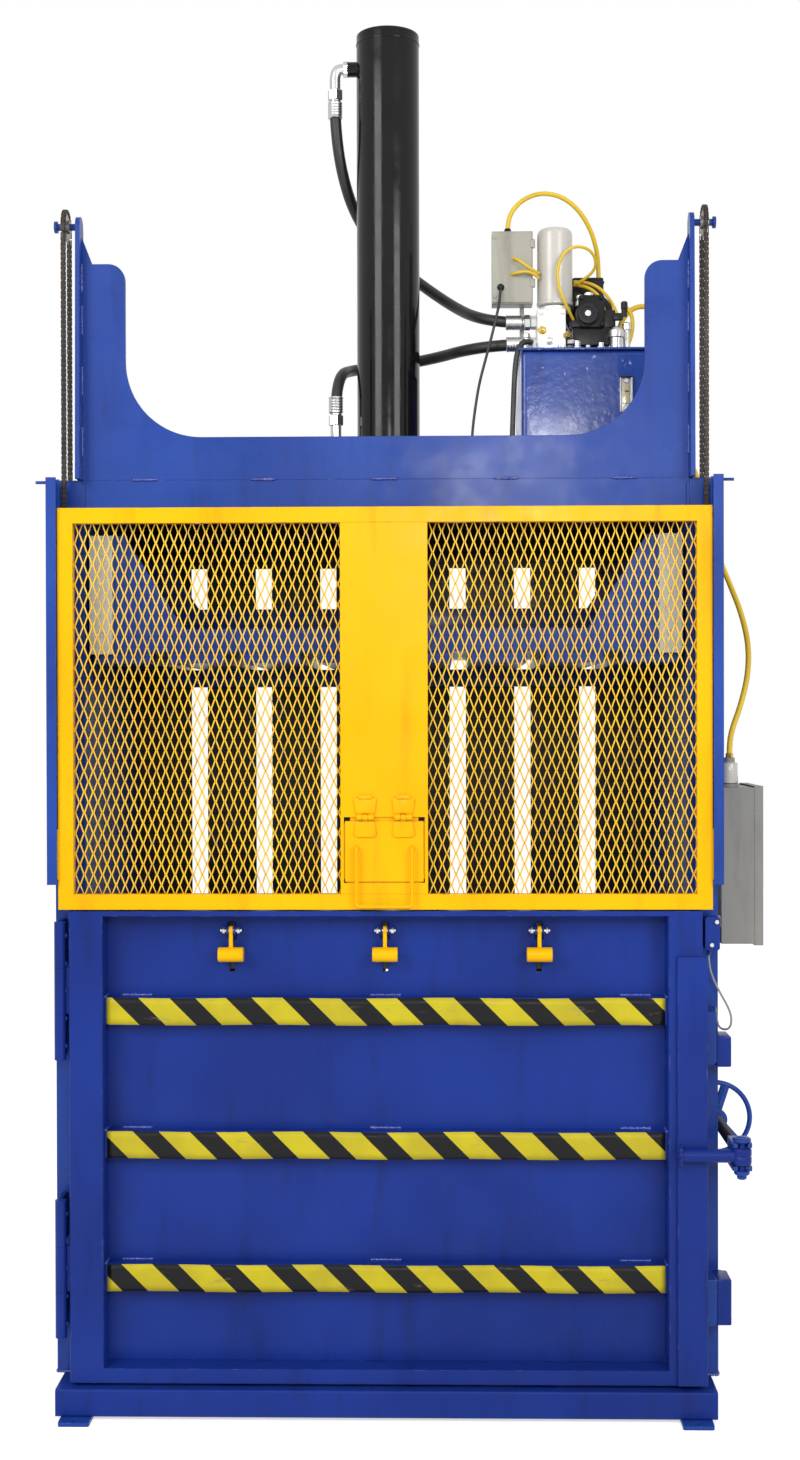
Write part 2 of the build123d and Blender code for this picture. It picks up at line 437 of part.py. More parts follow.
# Centre panel of the gate, cut out for the flap, with the fixed halves of the flap's hinges
FLAP_PIN_Y, FLAP_PIN_Z = GATE_FRONT - FLAP_HINGE_R - 1.0, FLAP_HIGH + 3.0
KNUCKLE_L = FLAP_HINGE_L / 3
with BuildPart() as gate_panel:
    slab((-PANEL_W / 2, PANEL_W / 2), (GATE_FRONT, GATE_FRONT + PANEL_T), (MESH_LOW, MESH_HIGH))
    slab((-FLAP_W / 2 - FLAP_GAP, FLAP_W / 2 + FLAP_GAP), (GATE_FRONT - 1, GATE_FRONT + PANEL_T + 1),
         (FLAP_LOW - FLAP_GAP, FLAP_HIGH + FLAP_GAP), Mode.SUBTRACT)
    for s in SIDES.values():
        x = s * FLAP_HINGE_X
        slab((x - FLAP_HINGE_L / 2, x + FLAP_HINGE_L / 2), (GATE_FRONT - 4.0, GATE_FRONT),
             (FLAP_PIN_Z + FLAP_HINGE_R, FLAP_PIN_Z + 43.0))
        for end in (-1, 1):
            slab((x + end * KNUCKLE_L - KNUCKLE_L / 2, x + end * KNUCKLE_L + KNUCKLE_L / 2),
                 (FLAP_PIN_Y, GATE_FRONT), (FLAP_PIN_Z, FLAP_PIN_Z + FLAP_HINGE_R + 1.0))
            rod((x + end * KNUCKLE_L, FLAP_PIN_Y, FLAP_PIN_Z), FLAP_HINGE_R, KNUCKLE_L, "X")
        rod((x, FLAP_PIN_Y, FLAP_PIN_Z), FLAP_PIN_R, FLAP_HINGE_L + 2.0, "X", Mode.SUBTRACT)
        slab((x - KNUCKLE_L / 2 - CLEAR, x + KNUCKLE_L / 2 + CLEAR), (FLAP_PIN_Y - 10.0, GATE_FRONT),
             (FLAP_PIN_Z - 10.0, FLAP_PIN_Z + FLAP_HINGE_R + 2.0), Mode.SUBTRACT)
save(gate_panel, "gate_panel")

with BuildPart() as gate_flap:
    slab((-FLAP_W / 2, FLAP_W / 2), (GATE_FRONT, GATE_FRONT + PANEL_T), (FLAP_LOW, FLAP_HIGH - FLAP_HINGE_R))
    for s in SIDES.values():
        x = s * FLAP_HINGE_X
        slab((x - FLAP_HINGE_L / 2, x + FLAP_HINGE_L / 2), (GATE_FRONT - 4.0, GATE_FRONT),
             (FLAP_PIN_Z - 46.0, FLAP_PIN_Z - FLAP_HINGE_R - 2.0))
        slab((x - KNUCKLE_L / 2, x + KNUCKLE_L / 2), (GATE_FRONT - 6.0, GATE_FRONT - 2.0),
             (FLAP_PIN_Z - FLAP_HINGE_R - 4.0, FLAP_PIN_Z))
        rod((x, FLAP_PIN_Y, FLAP_PIN_Z), FLAP_HINGE_R, KNUCKLE_L, "X")
        rod((x, FLAP_PIN_Y, FLAP_PIN_Z), FLAP_PIN_R + RUNNING, KNUCKLE_L + 2.0, "X", Mode.SUBTRACT)
save(gate_flap, "gate_flap")

with BuildPart() as flap_pins:
    for s in SIDES.values():
        rod((s * FLAP_HINGE_X, FLAP_PIN_Y, FLAP_PIN_Z), FLAP_PIN_R, FLAP_HINGE_L, "X")
save(flap_pins, "flap_pins")

with BuildPart() as gate_grip:
    with BuildLine() as grip_line:
        FilletPolyline((GRIP_W / 2, GATE_FRONT, GRIP_HIGH), (GRIP_W / 2, GATE_FRONT - GRIP_OUT, GRIP_HIGH),
                       (GRIP_W / 2, GATE_FRONT - GRIP_OUT, GRIP_LOW), (-GRIP_W / 2, GATE_FRONT - GRIP_OUT, GRIP_LOW),
                       (-GRIP_W / 2, GATE_FRONT - GRIP_OUT, GRIP_HIGH), (-GRIP_W / 2, GATE_FRONT, GRIP_HIGH),
                       radius=GRIP_OUT * 0.6)
    with BuildSketch(Plane(grip_line.line @ 0, z_dir=grip_line.line % 0)):
        Circle(GRIP_R)
    sweep()
save(gate_grip, "gate_grip")

# Bale door: box-tube frame round a recessed skin
with BuildPart() as door_frame:
    for s in SIDES.values():
        slab(span(s * STILE_INNER, s * DOOR_HALF), (DOOR_FRONT, DOOR_BACK), (DOOR_LOW, DOOR_HIGH))
    slab((-STILE_INNER, STILE_INNER), (DOOR_FRONT, DOOR_BACK), (DOOR_HIGH - DOOR_TOP_T, DOOR_HIGH))
    slab((-STILE_INNER, STILE_INNER), (DOOR_FRONT, DOOR_BACK), (DOOR_LOW, DOOR_LOW + DOOR_LIP_H))
    chamfer(door_frame.edges().filter_by(Axis.Z).group_by(Axis.Y)[0], 3.0)
save(door_frame, "door_frame")

DOG_XS = [(i - (DOG_COUNT - 1) / 2) * DOG_PITCH for i in range(DOG_COUNT)]
DOG_PIVOT_Y = SKIN_FRONT - DOG_OUT
DOG_SLOT_LOW, DOG_SLOT_HIGH = DOG_PIVOT_Z - 110.0, DOG_PIVOT_Z + 20.0
with BuildPart() as door_skin:
    slab((-STILE_INNER, STILE_INNER), (SKIN_FRONT, DOOR_BACK), (DOOR_LOW + DOOR_LIP_H, DOOR_HIGH - DOOR_TOP_T))
    for x in DOG_XS:
        slab((x - DOG_STEM_T / 2 - 2.0, x + DOG_STEM_T / 2 + 2.0), (SKIN_FRONT - 1, DOOR_BACK + 1),
             (DOG_SLOT_LOW, DOG_SLOT_HIGH), Mode.SUBTRACT)
        for end in (-1, 1):
            near = x + end * (DOG_STEM_T / 2 + 2.0)
            with BuildSketch(Plane.YZ.offset(near)):
                with BuildLine():
                    Polyline((SKIN_FRONT, DOG_PIVOT_Z - 26.0), (DOG_PIVOT_Y, DOG_PIVOT_Z - DOG_EAR_R),
                             (DOG_PIVOT_Y, DOG_PIVOT_Z + DOG_EAR_R), (SKIN_FRONT, DOG_PIVOT_Z + 18.0), close=True)
                make_face()
                with Locations((DOG_PIVOT_Y, DOG_PIVOT_Z)):
                    Circle(DOG_EAR_R)
                    Circle(DOG_PIN_R, mode=Mode.SUBTRACT)
            extrude(amount=end * DOG_EAR_T)
save(door_skin, "door_skin")

# Ribs across the skin: pressed channels, open towards it
with BuildPart() as door_ribs:
    for z in RIB_LEVELS:
        with BuildSketch(Plane.YZ.offset(-STILE_INNER)):
            with BuildLine():
                Polyline((SKIN_FRONT, z + RIB_H / 2), (SKIN_FRONT - RIB_D, z + RIB_H / 2),
                         (SKIN_FRONT - RIB_D, z - RIB_H / 2), (SKIN_FRONT, z - RIB_H / 2),
                         (SKIN_FRONT, z - RIB_H / 2 + RIB_T), (SKIN_FRONT - RIB_D + RIB_T, z - RIB_H / 2 + RIB_T),
                         (SKIN_FRONT - RIB_D + RIB_T, z + RIB_H / 2 - RIB_T), (SKIN_FRONT, z + RIB_H / 2 - RIB_T),
                         close=True)
            make_face()
        extrude(amount=2 * STILE_INNER)
    fillet(door_ribs.edges().filter_by(Axis.X).group_by(Axis.Y)[0], 3.0)
save(door_ribs, "door_ribs")

# Retainer dogs: claw through the skin, weighted by a roll that hangs outside
for i, x in enumerate(DOG_XS, 1):
    with BuildPart() as dog:
        with BuildSketch(Plane.YZ.offset(x - DOG_STEM_T / 2)):
            with Locations((DOG_PIVOT_Y, DOG_PIVOT_Z)):
                Circle(DOG_EAR_R)
            with BuildLine():
                Polyline((DOG_PIVOT_Y, DOG_PIVOT_Z + 9.0), (DOOR_BACK + 22.0, DOG_PIVOT_Z + 9.0),
                         (DOOR_BACK + 34.0, DOG_PIVOT_Z + 1.0), (DOOR_BACK + 10.0, DOG_PIVOT_Z - 9.0),
                         (DOG_PIVOT_Y + 4.0, DOG_PIVOT_Z - 9.0), (DOG_PIVOT_Y + 2.0, DOG_PIVOT_Z - DOG_ROLL_DROP),
                         (DOG_PIVOT_Y - 10.0, DOG_PIVOT_Z - DOG_ROLL_DROP), (DOG_PIVOT_Y - 8.0, DOG_PIVOT_Z),
                         close=True)
            make_face()
        extrude(amount=DOG_STEM_T)
        rod((x, DOG_PIVOT_Y - 8.0, DOG_PIVOT_Z - DOG_ROLL_DROP), DOG_ROLL_R, DOG_ROLL_L, "X")
        chamfer(dog.edges().filter_by(GeomType.CIRCLE).filter_by(lambda e: abs(e.radius - DOG_ROLL_R) < 0.1), 1.5)
        rod((x, DOG_PIVOT_Y, DOG_PIVOT_Z), DOG_PIN_R + RUNNING, DOG_STEM_T + 2.0, "X", Mode.SUBTRACT)
    save(dog, f"retainer_dog_{i}")

with BuildPart() as dog_pins:
    for x in DOG_XS:
        rod((x, DOG_PIVOT_Y, DOG_PIVOT_Z), DOG_PIN_R, 2 * DOG_PIN_HALF, "X")
        for end in (-1, 1):
            head = Vector(x + end * DOG_PIN_HALF, DOG_PIVOT_Y, DOG_PIVOT_Z)
            with BuildSketch(Plane(head, z_dir=(end, 0, 0))):
                RegularPolygon(9.0, 6)
            extrude(amount=5.0)
save(dog_pins, "dog_pins")

# Door hinges: the middle knuckle turns with the door, the outer two and the pin stay on the column
LEAF_OUT = HINGE_X - LEAF_T
with BuildPart() as door_hinge_leaves:
    for low, high in HINGE_SPANS:
        third = (high - low) / KNUCKLES
        a, b = low + third + CLEAR, high - third - CLEAR
        slab((HINGE_X, -DOOR_HALF), (HINGE_Y, HINGE_Y + LEAF_T), (a, b))
        rod((HINGE_X, HINGE_Y, (a + b) / 2), HINGE_R, b - a, "Z")
        rod((HINGE_X, HINGE_Y, (a + b) / 2), HINGE_PIN_R + RUNNING, b - a + 2.0, "Z", Mode.SUBTRACT)
save(door_hinge_leaves, "door_hinge_leaves")

with BuildPart() as frame_hinge_leaves:
    for low, high in HINGE_SPANS:
        third = (high - low) / KNUCKLES
        for a, b in ((low, low + third), (high - third, high)):
            slab((LEAF_OUT, HINGE_X), (HINGE_Y, COLUMN_FRONT), (a, b))
            rod((HINGE_X, HINGE_Y, (a + b) / 2), HINGE_R, b - a, "Z")
        rod((HINGE_X, HINGE_Y, (low + high) / 2), HINGE_PIN_R, high - low, "Z")
save(frame_hinge_leaves, "frame_hinges")

# Latch on the door: clamp bar, round arm, eye and pin
ARM_Y = DOOR_FRONT - BAR_T - ARM_R
with BuildPart() as latch_bar:
    slab(BAR_X, (DOOR_FRONT - BAR_T, DOOR_FRONT), (BAR_LOW, BAR_HIGH))
    chamfer(latch_bar.edges().filter_by(Axis.Z).group_by(Axis.Y)[0], 2.5)
    with Locations(Location((ARM_START, ARM_Y, LATCH_Z), (0, 90, 0))):
        Cylinder(ARM_R, LATCH_X - ARM_START, align=(Align.CENTER, Align.CENTER, Align.MIN))
    rod((LATCH_X, ARM_Y, LATCH_Z), BOSS_W / 2 + ROOT_GAP, BOSS_H, "Z", Mode.SUBTRACT)
    rod((LATCH_X, ARM_Y, LATCH_Z), BOSS_W / 2, BOSS_H, "Z")
    chamfer(latch_bar.edges().filter_by(GeomType.CIRCLE).filter_by(lambda e: abs(e.radius - BOSS_W / 2) < 0.05), 3.0)
    rod((LATCH_X, ARM_Y, LATCH_Z), ARM_PIN_R, ARM_PIN_L, "Z")
save(latch_bar, "latch_bar")

# Screw with a fork whose slots are open to the front; it slides in the bracket, it never turns
FORK_GAP = 2.0
FORK_T = 11.0
FORK_FRONT, FORK_REAR = ARM_Y - ARM_PIN_R - 6.0, ARM_Y + ARM_PIN_R + FORK_SLOT
with BuildPart() as latch_screw:
    for end in (-1, 1):
        near = LATCH_Z + end * (BOSS_H / 2 + FORK_GAP)
        with BuildSketch(Plane.XY.offset(near)):
            with Locations((LATCH_X, (FORK_FRONT + FORK_REAR) / 2)):
                RectangleRounded(BOSS_W, FORK_REAR - FORK_FRONT, 8.0)
            with Locations((LATCH_X, FORK_FRONT - 1.0)):
                Rectangle(2 * (ARM_PIN_R + FORK_GAP), FORK_SLOT, align=(Align.CENTER, Align.MIN), mode=Mode.SUBTRACT)
        extrude(amount=end * FORK_T)
    half_h = BOSS_H / 2 + FORK_GAP + FORK_T
    slab((LATCH_X - BOSS_W / 2, LATCH_X + BOSS_W / 2), (FORK_REAR - 14.0, FORK_REAR), (LATCH_Z - half_h, LATCH_Z + half_h))
    screw_front = FORK_REAR + ROOT_GAP
    rod((LATCH_X, (screw_front + SCREW_BACK) / 2, LATCH_Z), SCREW_R, SCREW_BACK - screw_front, "Y")
save(latch_screw, "latch_screw")

# Bracket on the side wall that the screw slides through
HUB_FRONT = WHEEL_Y - HUB_L / 2
with BuildPart() as latch_bracket:
    back = HUB_FRONT - CLEAR
    with BuildSketch(Plane.XZ.offset(-(back - NUT_PLATE_T))):
        with BuildLine():
            Polyline((WALL_OUTER, LATCH_Z - 75.0), (LATCH_X, LATCH_Z - 30.0), (LATCH_X, LATCH_Z + 30.0),
                     (WALL_OUTER, LATCH_Z + 75.0), close=True)
        make_face()
        with Locations((LATCH_X, LATCH_Z)):
            Circle(30.0)
            Circle(SCREW_R + RUNNING, mode=Mode.SUBTRACT)
    extrude(amount=-NUT_PLATE_T)
    with BuildSketch(Plane.XY.offset(LATCH_Z - 5.0)):
        with BuildLine():
            Polyline((WALL_OUTER, back - NUT_PLATE_T), (LATCH_X - 36.0, back - NUT_PLATE_T),
                     (WALL_OUTER, back - NUT_PLATE_T - 70.0), close=True)
        make_face()
    extrude(amount=10.0)
save(latch_bracket, "latch_bracket")

with BuildPart() as handwheel:
    with BuildSketch(Plane.XY.offset(LATCH_Z)):
        with Locations((LATCH_X + WHEEL_R, WHEEL_Y)):
            Circle(WHEEL_RIM_R)
    revolve(axis=Axis((LATCH_X, WHEEL_Y, LATCH_Z), (0, 1, 0)))
    rod((LATCH_X, WHEEL_Y, LATCH_Z), HUB_R, HUB_L, "Y")
    for i in range(WHEEL_SPOKES):
        turn = math.radians(72.0 - i * 360.0 / WHEEL_SPOKES)
        out = Vector(math.cos(turn), 0, math.sin(turn))
        with BuildSketch(Plane(Vector(LATCH_X, WHEEL_Y, LATCH_Z) + out * (SCREW_R + 2.0), z_dir=out,
                               x_dir=(0, 1, 0))):
            Ellipse(WHEEL_RIM_R, WHEEL_RIM_R * 1.5)
        extrude(amount=WHEEL_R - SCREW_R - 2.0)
    rod((LATCH_X, WHEEL_Y, LATCH_Z), SCREW_R + RUNNING, HUB_L * 2, "Y", Mode.SUBTRACT)
save(handwheel, "handwheel")

# Press cylinder: bored tube closed at the top, open gland at the bottom, flange on the crossheads
CROSS_TOP = FRAME_TOP + CROSS_H
with BuildPart() as cylinder_tube:
    rod((0, 0, (TUBE_LOW + TUBE_HIGH) / 2), TUBE_R, TUBE_HIGH - TUBE_LOW, "Z")
    fillet(cylinder_tube.edges().group_by(Axis.Z)[-1], 4.0)
    with BuildSketch(Plane.XY.offset(CROSS_TOP)):
        Rectangle(2 * FLANGE_R, 2 * (CROSS_Y + CROSS_W / 2))
    extrude(amount=FLANGE_T)
    rod((-TUBE_R, 0, TUBE_HIGH - PORT_DROP), PORT_R, 2 * PORT_L, "X")
    rod((0, 0, (TUBE_LOW + GLAND_H + TUBE_HIGH - CAP_T) / 2), BORE_R, TUBE_HIGH - CAP_T - TUBE_LOW - GLAND_H, "Z",
        Mode.SUBTRACT)
    rod((0, 0, TUBE_LOW), ROD_R + RUNNING, 3 * GLAND_H, "Z", Mode.SUBTRACT)
save(cylinder_tube, "cylinder_tube")

PLATEN_HALF = CHAMBER_HALF - PLATEN_SIDE_GAP
PLATEN_TOP = PLATEN_FACE + TIE_RIB_H + PLATEN_T
PISTON_TOP = TUBE_HIGH - CAP_T - 20.0
with BuildPart() as cylinder_rod:
    rod((0, 0, (PLATEN_TOP + PISTON_TOP) / 2), ROD_R, PISTON_TOP - PLATEN_TOP, "Z")
    rod((0, 0, PISTON_TOP - PISTON_H / 2), BORE_R - RUNNING, PISTON_H, "Z")
    rod((0, 0, PLATEN_TOP + 15.0), ROD_R + 35.0, 30.0, "Z")
save(cylinder_rod, "cylinder_rod")

# Platen: plate with a deep edge, tie channels below, sloping end gussets and cross webs
PLATEN_EDGE_TOP = PLATEN_FACE + PLATEN_EDGE_H
with BuildPart() as platen:
    slab((-PLATEN_HALF, PLATEN_HALF), (PLATEN_FRONT, PLATEN_BACK), (PLATEN_TOP - PLATEN_T, PLATEN_TOP))
    for y in (PLATEN_FRONT, PLATEN_BACK - GUSSET_T):
        slab((-PLATEN_HALF, PLATEN_HALF), (y, y + GUSSET_T), (PLATEN_TOP - PLATEN_T, PLATEN_EDGE_TOP + 16.0))
        for s in SIDES.values():
            with BuildSketch(Plane.XZ.offset(-y)):
                with BuildLine():
                    Polyline((s * PLATEN_HALF, PLATEN_EDGE_TOP), (s * (PLATEN_HALF - GUSSET_FOOT), PLATEN_EDGE_TOP),
                             (s * (PLATEN_HALF - GUSSET_HEAD), PAD_HIGH), (s * PLATEN_HALF, PAD_HIGH), close=True)
                make_face()
            extrude(amount=-GUSSET_T)
    for s in SIDES.values():
        slab(span(s * PLATEN_HALF, s * (PLATEN_HALF - GUSSET_T)), (PLATEN_FRONT, PLATEN_BACK), (PLATEN_TOP, PAD_HIGH))
        slab(span(s * 160.0, s * 172.0), (PLATEN_FRONT, PLATEN_BACK), (PLATEN_TOP, PLATEN_EDGE_TOP))
    edges = [-PLATEN_HALF] + SLOT_XS + [PLATEN_HALF]
    for a, b in zip(edges, edges[1:]):
        low = a + (SLOT_W / 2 if a in SLOT_XS else 12.0)
        high = b - (SLOT_W / 2 if b in SLOT_XS else 12.0)
        slab((low, high), (PLATEN_FRONT + 10.0, PLATEN_BACK - 10.0), (PLATEN_FACE, PLATEN_TOP - PLATEN_T))
save(platen, "platen")

with BuildPart() as platen_pads:
    for s in SIDES.values():
        outer = s * (PLATEN_HALF - 4.0)
        slab(span(outer, outer - s * PAD_W), (PLATEN_FRONT - PAD_T, PLATEN_FRONT), (PLATEN_EDGE_TOP - 50.0, PAD_HIGH))
        for z in (PLATEN_EDGE_TOP, PAD_HIGH - 60.0):
            rod((outer - s * PAD_W / 2, PLATEN_FRONT - PAD_T, z), 9.0, 8.0, "Y", Mode.SUBTRACT)
save(platen_pads, "platen_pads")

# Oil tank: flat plates set edge to edge with a weld root between them, and a lid that overhangs
with BuildPart() as oil_tank:
    wall_top = TANK_TOP - TANK_LID_T - ROOT_GAP
    inner_x = (TANK_X[0] + TANK_SKIN + ROOT_GAP, TANK_X[1] - TANK_SKIN - ROOT_GAP)
    inner_y = (TANK_Y[0] + TANK_SKIN + ROOT_GAP, TANK_Y[1] - TANK_SKIN - ROOT_GAP)
    for y in (TANK_Y[0], TANK_Y[1] - TANK_SKIN):
        slab(TANK_X, (y, y + TANK_SKIN), (TANK_LOW, wall_top))
    for x in (TANK_X[0], TANK_X[1] - TANK_SKIN):
        slab((x, x + TANK_SKIN), inner_y, (TANK_LOW, wall_top))
    slab(inner_x, inner_y, (TANK_LOW, TANK_LOW + TANK_SKIN))
    for group in (0, -1):
        fillet(oil_tank.edges().filter_by(Axis.Z).group_by(Axis.Y)[group], TANK_CORNER)
    slab((GAUGE_X - GAUGE_W / 2, GAUGE_X + GAUGE_W / 2), (TANK_Y[0] - GAUGE_T, TANK_Y[0]), (GAUGE_LOW, GAUGE_HIGH))
    with BuildSketch(Plane.XY.offset(TANK_TOP - TANK_LID_T)):
        with Locations((sum(TANK_X) / 2, sum(TANK_Y) / 2)):
            RectangleRounded(TANK_X[1] - TANK_X[0] + 2 * TANK_LID_OUT, TANK_Y[1] - TANK_Y[0] + 2 * TANK_LID_OUT,
                             TANK_CORNER + TANK_LID_OUT)
    extrude(amount=TANK_LID_T)
    rod((BREATHER_X, BREATHER_Y, TANK_TOP + BREATHER_H / 2), BREATHER_R * 0.6, BREATHER_H, "Z")
    rod((BREATHER_X, BREATHER_Y, TANK_TOP + BREATHER_H - 15.0), BREATHER_R, 30.0, "Z")
save(oil_tank, "oil_tank")

# Valve manifold with its port bosses, and the spin-on filter above it
with BuildPart() as manifold:
    slab(MANIFOLD_X, MANIFOLD_Y, (TANK_TOP, MANIFOLD_HIGH - 14.0))
    chamfer(manifold.edges().filter_by(Axis.Z), 5.0)
    rod((FILTER_X, FILTER_Y, MANIFOLD_HIGH - 7.0), FILTER_R * 0.8, 14.0, "Z")
    for y, z in ((MANIFOLD_Y[0] + 25.0, TANK_TOP + 22.0), (MANIFOLD_Y[1] - 28.0, MANIFOLD_HIGH - 40.0)):
        rod((MANIFOLD_X[0] - 10.0, y, z), HOSE_D * 0.6, 20.0, "X")
    for dx in (-16.0, 16.0):
        rod((FILTER_X + dx, MANIFOLD_Y[0] - 9.0, TANK_TOP + 62.0), 9.0, 18.0, "Y")
save(manifold, "manifold")

with BuildPart() as oil_filter:
    rod((FILTER_X, FILTER_Y, (MANIFOLD_HIGH + FILTER_HIGH) / 2), FILTER_R, FILTER_HIGH - MANIFOLD_HIGH, "Z")
    fillet(oil_filter.edges().group_by(Axis.Z)[-1], 12.0)
    fillet(oil_filter.edges().group_by(Axis.Z)[0], 4.0)
save(oil_filter, "oil_filter")

# Electric motor on its foot, with the pump and its round end towards the front
with BuildPart() as motor:
    rod((MOTOR_X, MOTOR_Y, MOTOR_Z), MOTOR_R - MOTOR_FIN_H, MOTOR_L, "Y")
    with BuildSketch(Plane.XZ.offset(-(MOTOR_Y - MOTOR_L / 2 + 25.0))):
        with Locations((MOTOR_X, MOTOR_Z)):
            with PolarLocations(MOTOR_R - MOTOR_FIN_H / 2 - 2.0, MOTOR_FINS):
                Rectangle(MOTOR_FIN_H + 4.0, 4.0)
    extrude(amount=-(MOTOR_L - 50.0))
    slab((MOTOR_X - MOTOR_FOOT, MOTOR_X + MOTOR_FOOT), (MOTOR_Y - 70.0, MOTOR_Y + 70.0), (TANK_TOP, MOTOR_Z - 40.0))
    rod((MOTOR_X, MOTOR_Y - (MOTOR_L + PUMP_L) / 2, MOTOR_Z), PUMP_R, PUMP_L, "Y")
    rod((MOTOR_X, MOTOR_Y - MOTOR_L / 2 - PUMP_L - 12.0, MOTOR_Z), PUMP_CAP_R, 24.0, "Y")
    slab((MOTOR_X - TERMINAL_W / 2, MOTOR_X + TERMINAL_W / 2), (MOTOR_Y - TERMINAL_L / 2, MOTOR_Y + TERMINAL_L / 2),
         (MOTOR_Z + MOTOR_R - 14.0, MOTOR_Z + MOTOR_R + TERMINAL_H - 14.0))
save(motor, "motor")

with BuildPart() as junction_box:
    slab(JUNCTION_X, JUNCTION_Y, JUNCTION_Z)
    chamfer(junction_box.edges().filter_by(Axis.Z), 2.0)
    slab((JUNCTION_X[1] - 34.0, JUNCTION_X[1] - 22.0), (JUNCTION_Y[1], JUNCTION_Y[1] + 12.0), (TANK_TOP, JUNCTION_Z[1]))
    slab((JUNCTION_X[1] - 34.0, JUNCTION_X[1] - 6.0), (JUNCTION_Y[1], JUNCTION_Y[1] + 12.0),
         (TANK_TOP, TANK_TOP + 8.0))
save(junction_box, "junction_box")

# Pipe fittings on the cylinder: an elbow and nut at the cap end, another above the flange
PORT_Z = TUBE_HIGH - PORT_DROP
PORT_END = -TUBE_R - PORT_L
with BuildPart() as hose_fittings:
    for z, end_z in ((PORT_Z, PORT_Z - ELBOW_DROP), (ELBOW_LOW_Z, ELBOW_END)):
        start = PORT_END if z == PORT_Z else -TUBE_R - CLEAR
        with BuildLine() as elbow_line:
            FilletPolyline((start, 0, z), (ELBOW_X, 0, z), (ELBOW_X, 0, end_z), radius=ELBOW_BEND)
        with BuildSketch(Plane(elbow_line.line @ 0, z_dir=elbow_line.line % 0)):
            Circle(ELBOW_R)
        sweep()
        step = math.copysign(1, end_z - z)
        with BuildSketch(Plane.XY.offset(end_z)):
            with Locations((ELBOW_X, 0)):
                RegularPolygon(ELBOW_NUT_R, 6)
        extrude(amount=step * ELBOW_NUT_L)
save(hose_fittings, "hose_fittings")

# Control box: folded case on two stand-offs, lid on the outer side, cable gland on top
HINGE_LINE_X, HINGE_LINE_Y = CONTROL_X[1] + LID_T / 2, CONTROL_Y[1] + 5.0
with BuildPart() as control_box:
    slab(CONTROL_X, CONTROL_Y, CONTROL_Z)
    offset(amount=-CONTROL_WALL, openings=control_box.faces().sort_by(Axis.X)[-1])
    for z in (CONTROL_Z[0] + 60.0, CONTROL_Z[1] - 60.0):
        slab((COLUMN_OUTER, CONTROL_X[0]), (CONTROL_Y[0] + 4.0, COLUMN_BACK - 2.0), (z - 15.0, z + 15.0))
        slab((CONTROL_X[1] - 20.0, CONTROL_X[1]), (CONTROL_Y[1], CONTROL_Y[1] + 4.0), (z - 15.0, z + 15.0))
        slab((CONTROL_X[1] - 20.0, HINGE_LINE_X), (CONTROL_Y[1] + 1.0, CONTROL_Y[1] + 4.0), (z - 15.0, z + 15.0))
        rod((HINGE_LINE_X, HINGE_LINE_Y, z), 6.0, 30.0, "Z")
        rod((HINGE_LINE_X, HINGE_LINE_Y, z - 25.0), LID_PIN_R, 60.0, "Z")
    rod((GLAND_X, GLAND_Y, CONTROL_Z[1] + 5.0), GLAND_R + 4.0, 10.0, "Z")
    rod((GLAND_X, GLAND_Y, CONTROL_Z[1] + GLAND_H / 2), GLAND_R, GLAND_H, "Z")
    rod((GLAND_X, GLAND_Y, CONTROL_Z[1] + GLAND_H + 6.0), GLAND_R * 0.7, 16.0, "Z")
save(control_box, "control_box")

# Lid of the control box: shallow tray that turns on two pins at its rear edge
LID_IN, LID_OUT = CONTROL_X[1] + CLEAR, CONTROL_X[1] + LID_T
with BuildPart() as control_lid:
    slab((LID_IN, LID_OUT), (CONTROL_Y[0], CONTROL_Y[1] - LID_SIDE), (CONTROL_Z[0] - 4.0, CONTROL_Z[1] + 4.0))
    offset(amount=-CONTROL_WALL, openings=control_lid.faces().sort_by(Axis.X)[0])
    for z in BUTTON_LEVELS.values():
        rod((LID_OUT, sum(CONTROL_Y) / 2, z), BUTTON_R + BUTTON_GAP, 3 * LID_T, "X", Mode.SUBTRACT)
    for z in (CONTROL_Z[0] + 35.0, CONTROL_Z[1] - 85.0):
        slab((LID_OUT - 3.0, LID_OUT), (CONTROL_Y[1] - LID_SIDE, HINGE_LINE_Y), (z - 8.0, z + 8.0))
        slab((HINGE_LINE_X, LID_OUT), (HINGE_LINE_Y - 3.0, HINGE_LINE_Y), (z - 8.0, z + 8.0))
        rod((HINGE_LINE_X, HINGE_LINE_Y, z), 6.0, 16.0, "Z")
        rod((HINGE_LINE_X, HINGE_LINE_Y, z), LID_PIN_R + RUNNING, 18.0, "Z", Mode.SUBTRACT)
save(control_lid, "control_lid")

for name, z in BUTTON_LEVELS.items():
    with BuildPart() as button:
        middle = sum(CONTROL_Y) / 2
        rod((LID_OUT + BUTTON_TRAVEL / 2 - 1.0, middle, z), BUTTON_R, BUTTON_TRAVEL + 2.0 + 2 * CONTROL_WALL, "X")
        rod((LID_OUT + BUTTON_TRAVEL + CLEAR + BUTTON_L / 4, middle, z), BUTTON_HEAD_R, BUTTON_L / 2, "X")
        fillet(button.edges().group_by(Axis.X)[-1], 2.0)
    save(button, name)

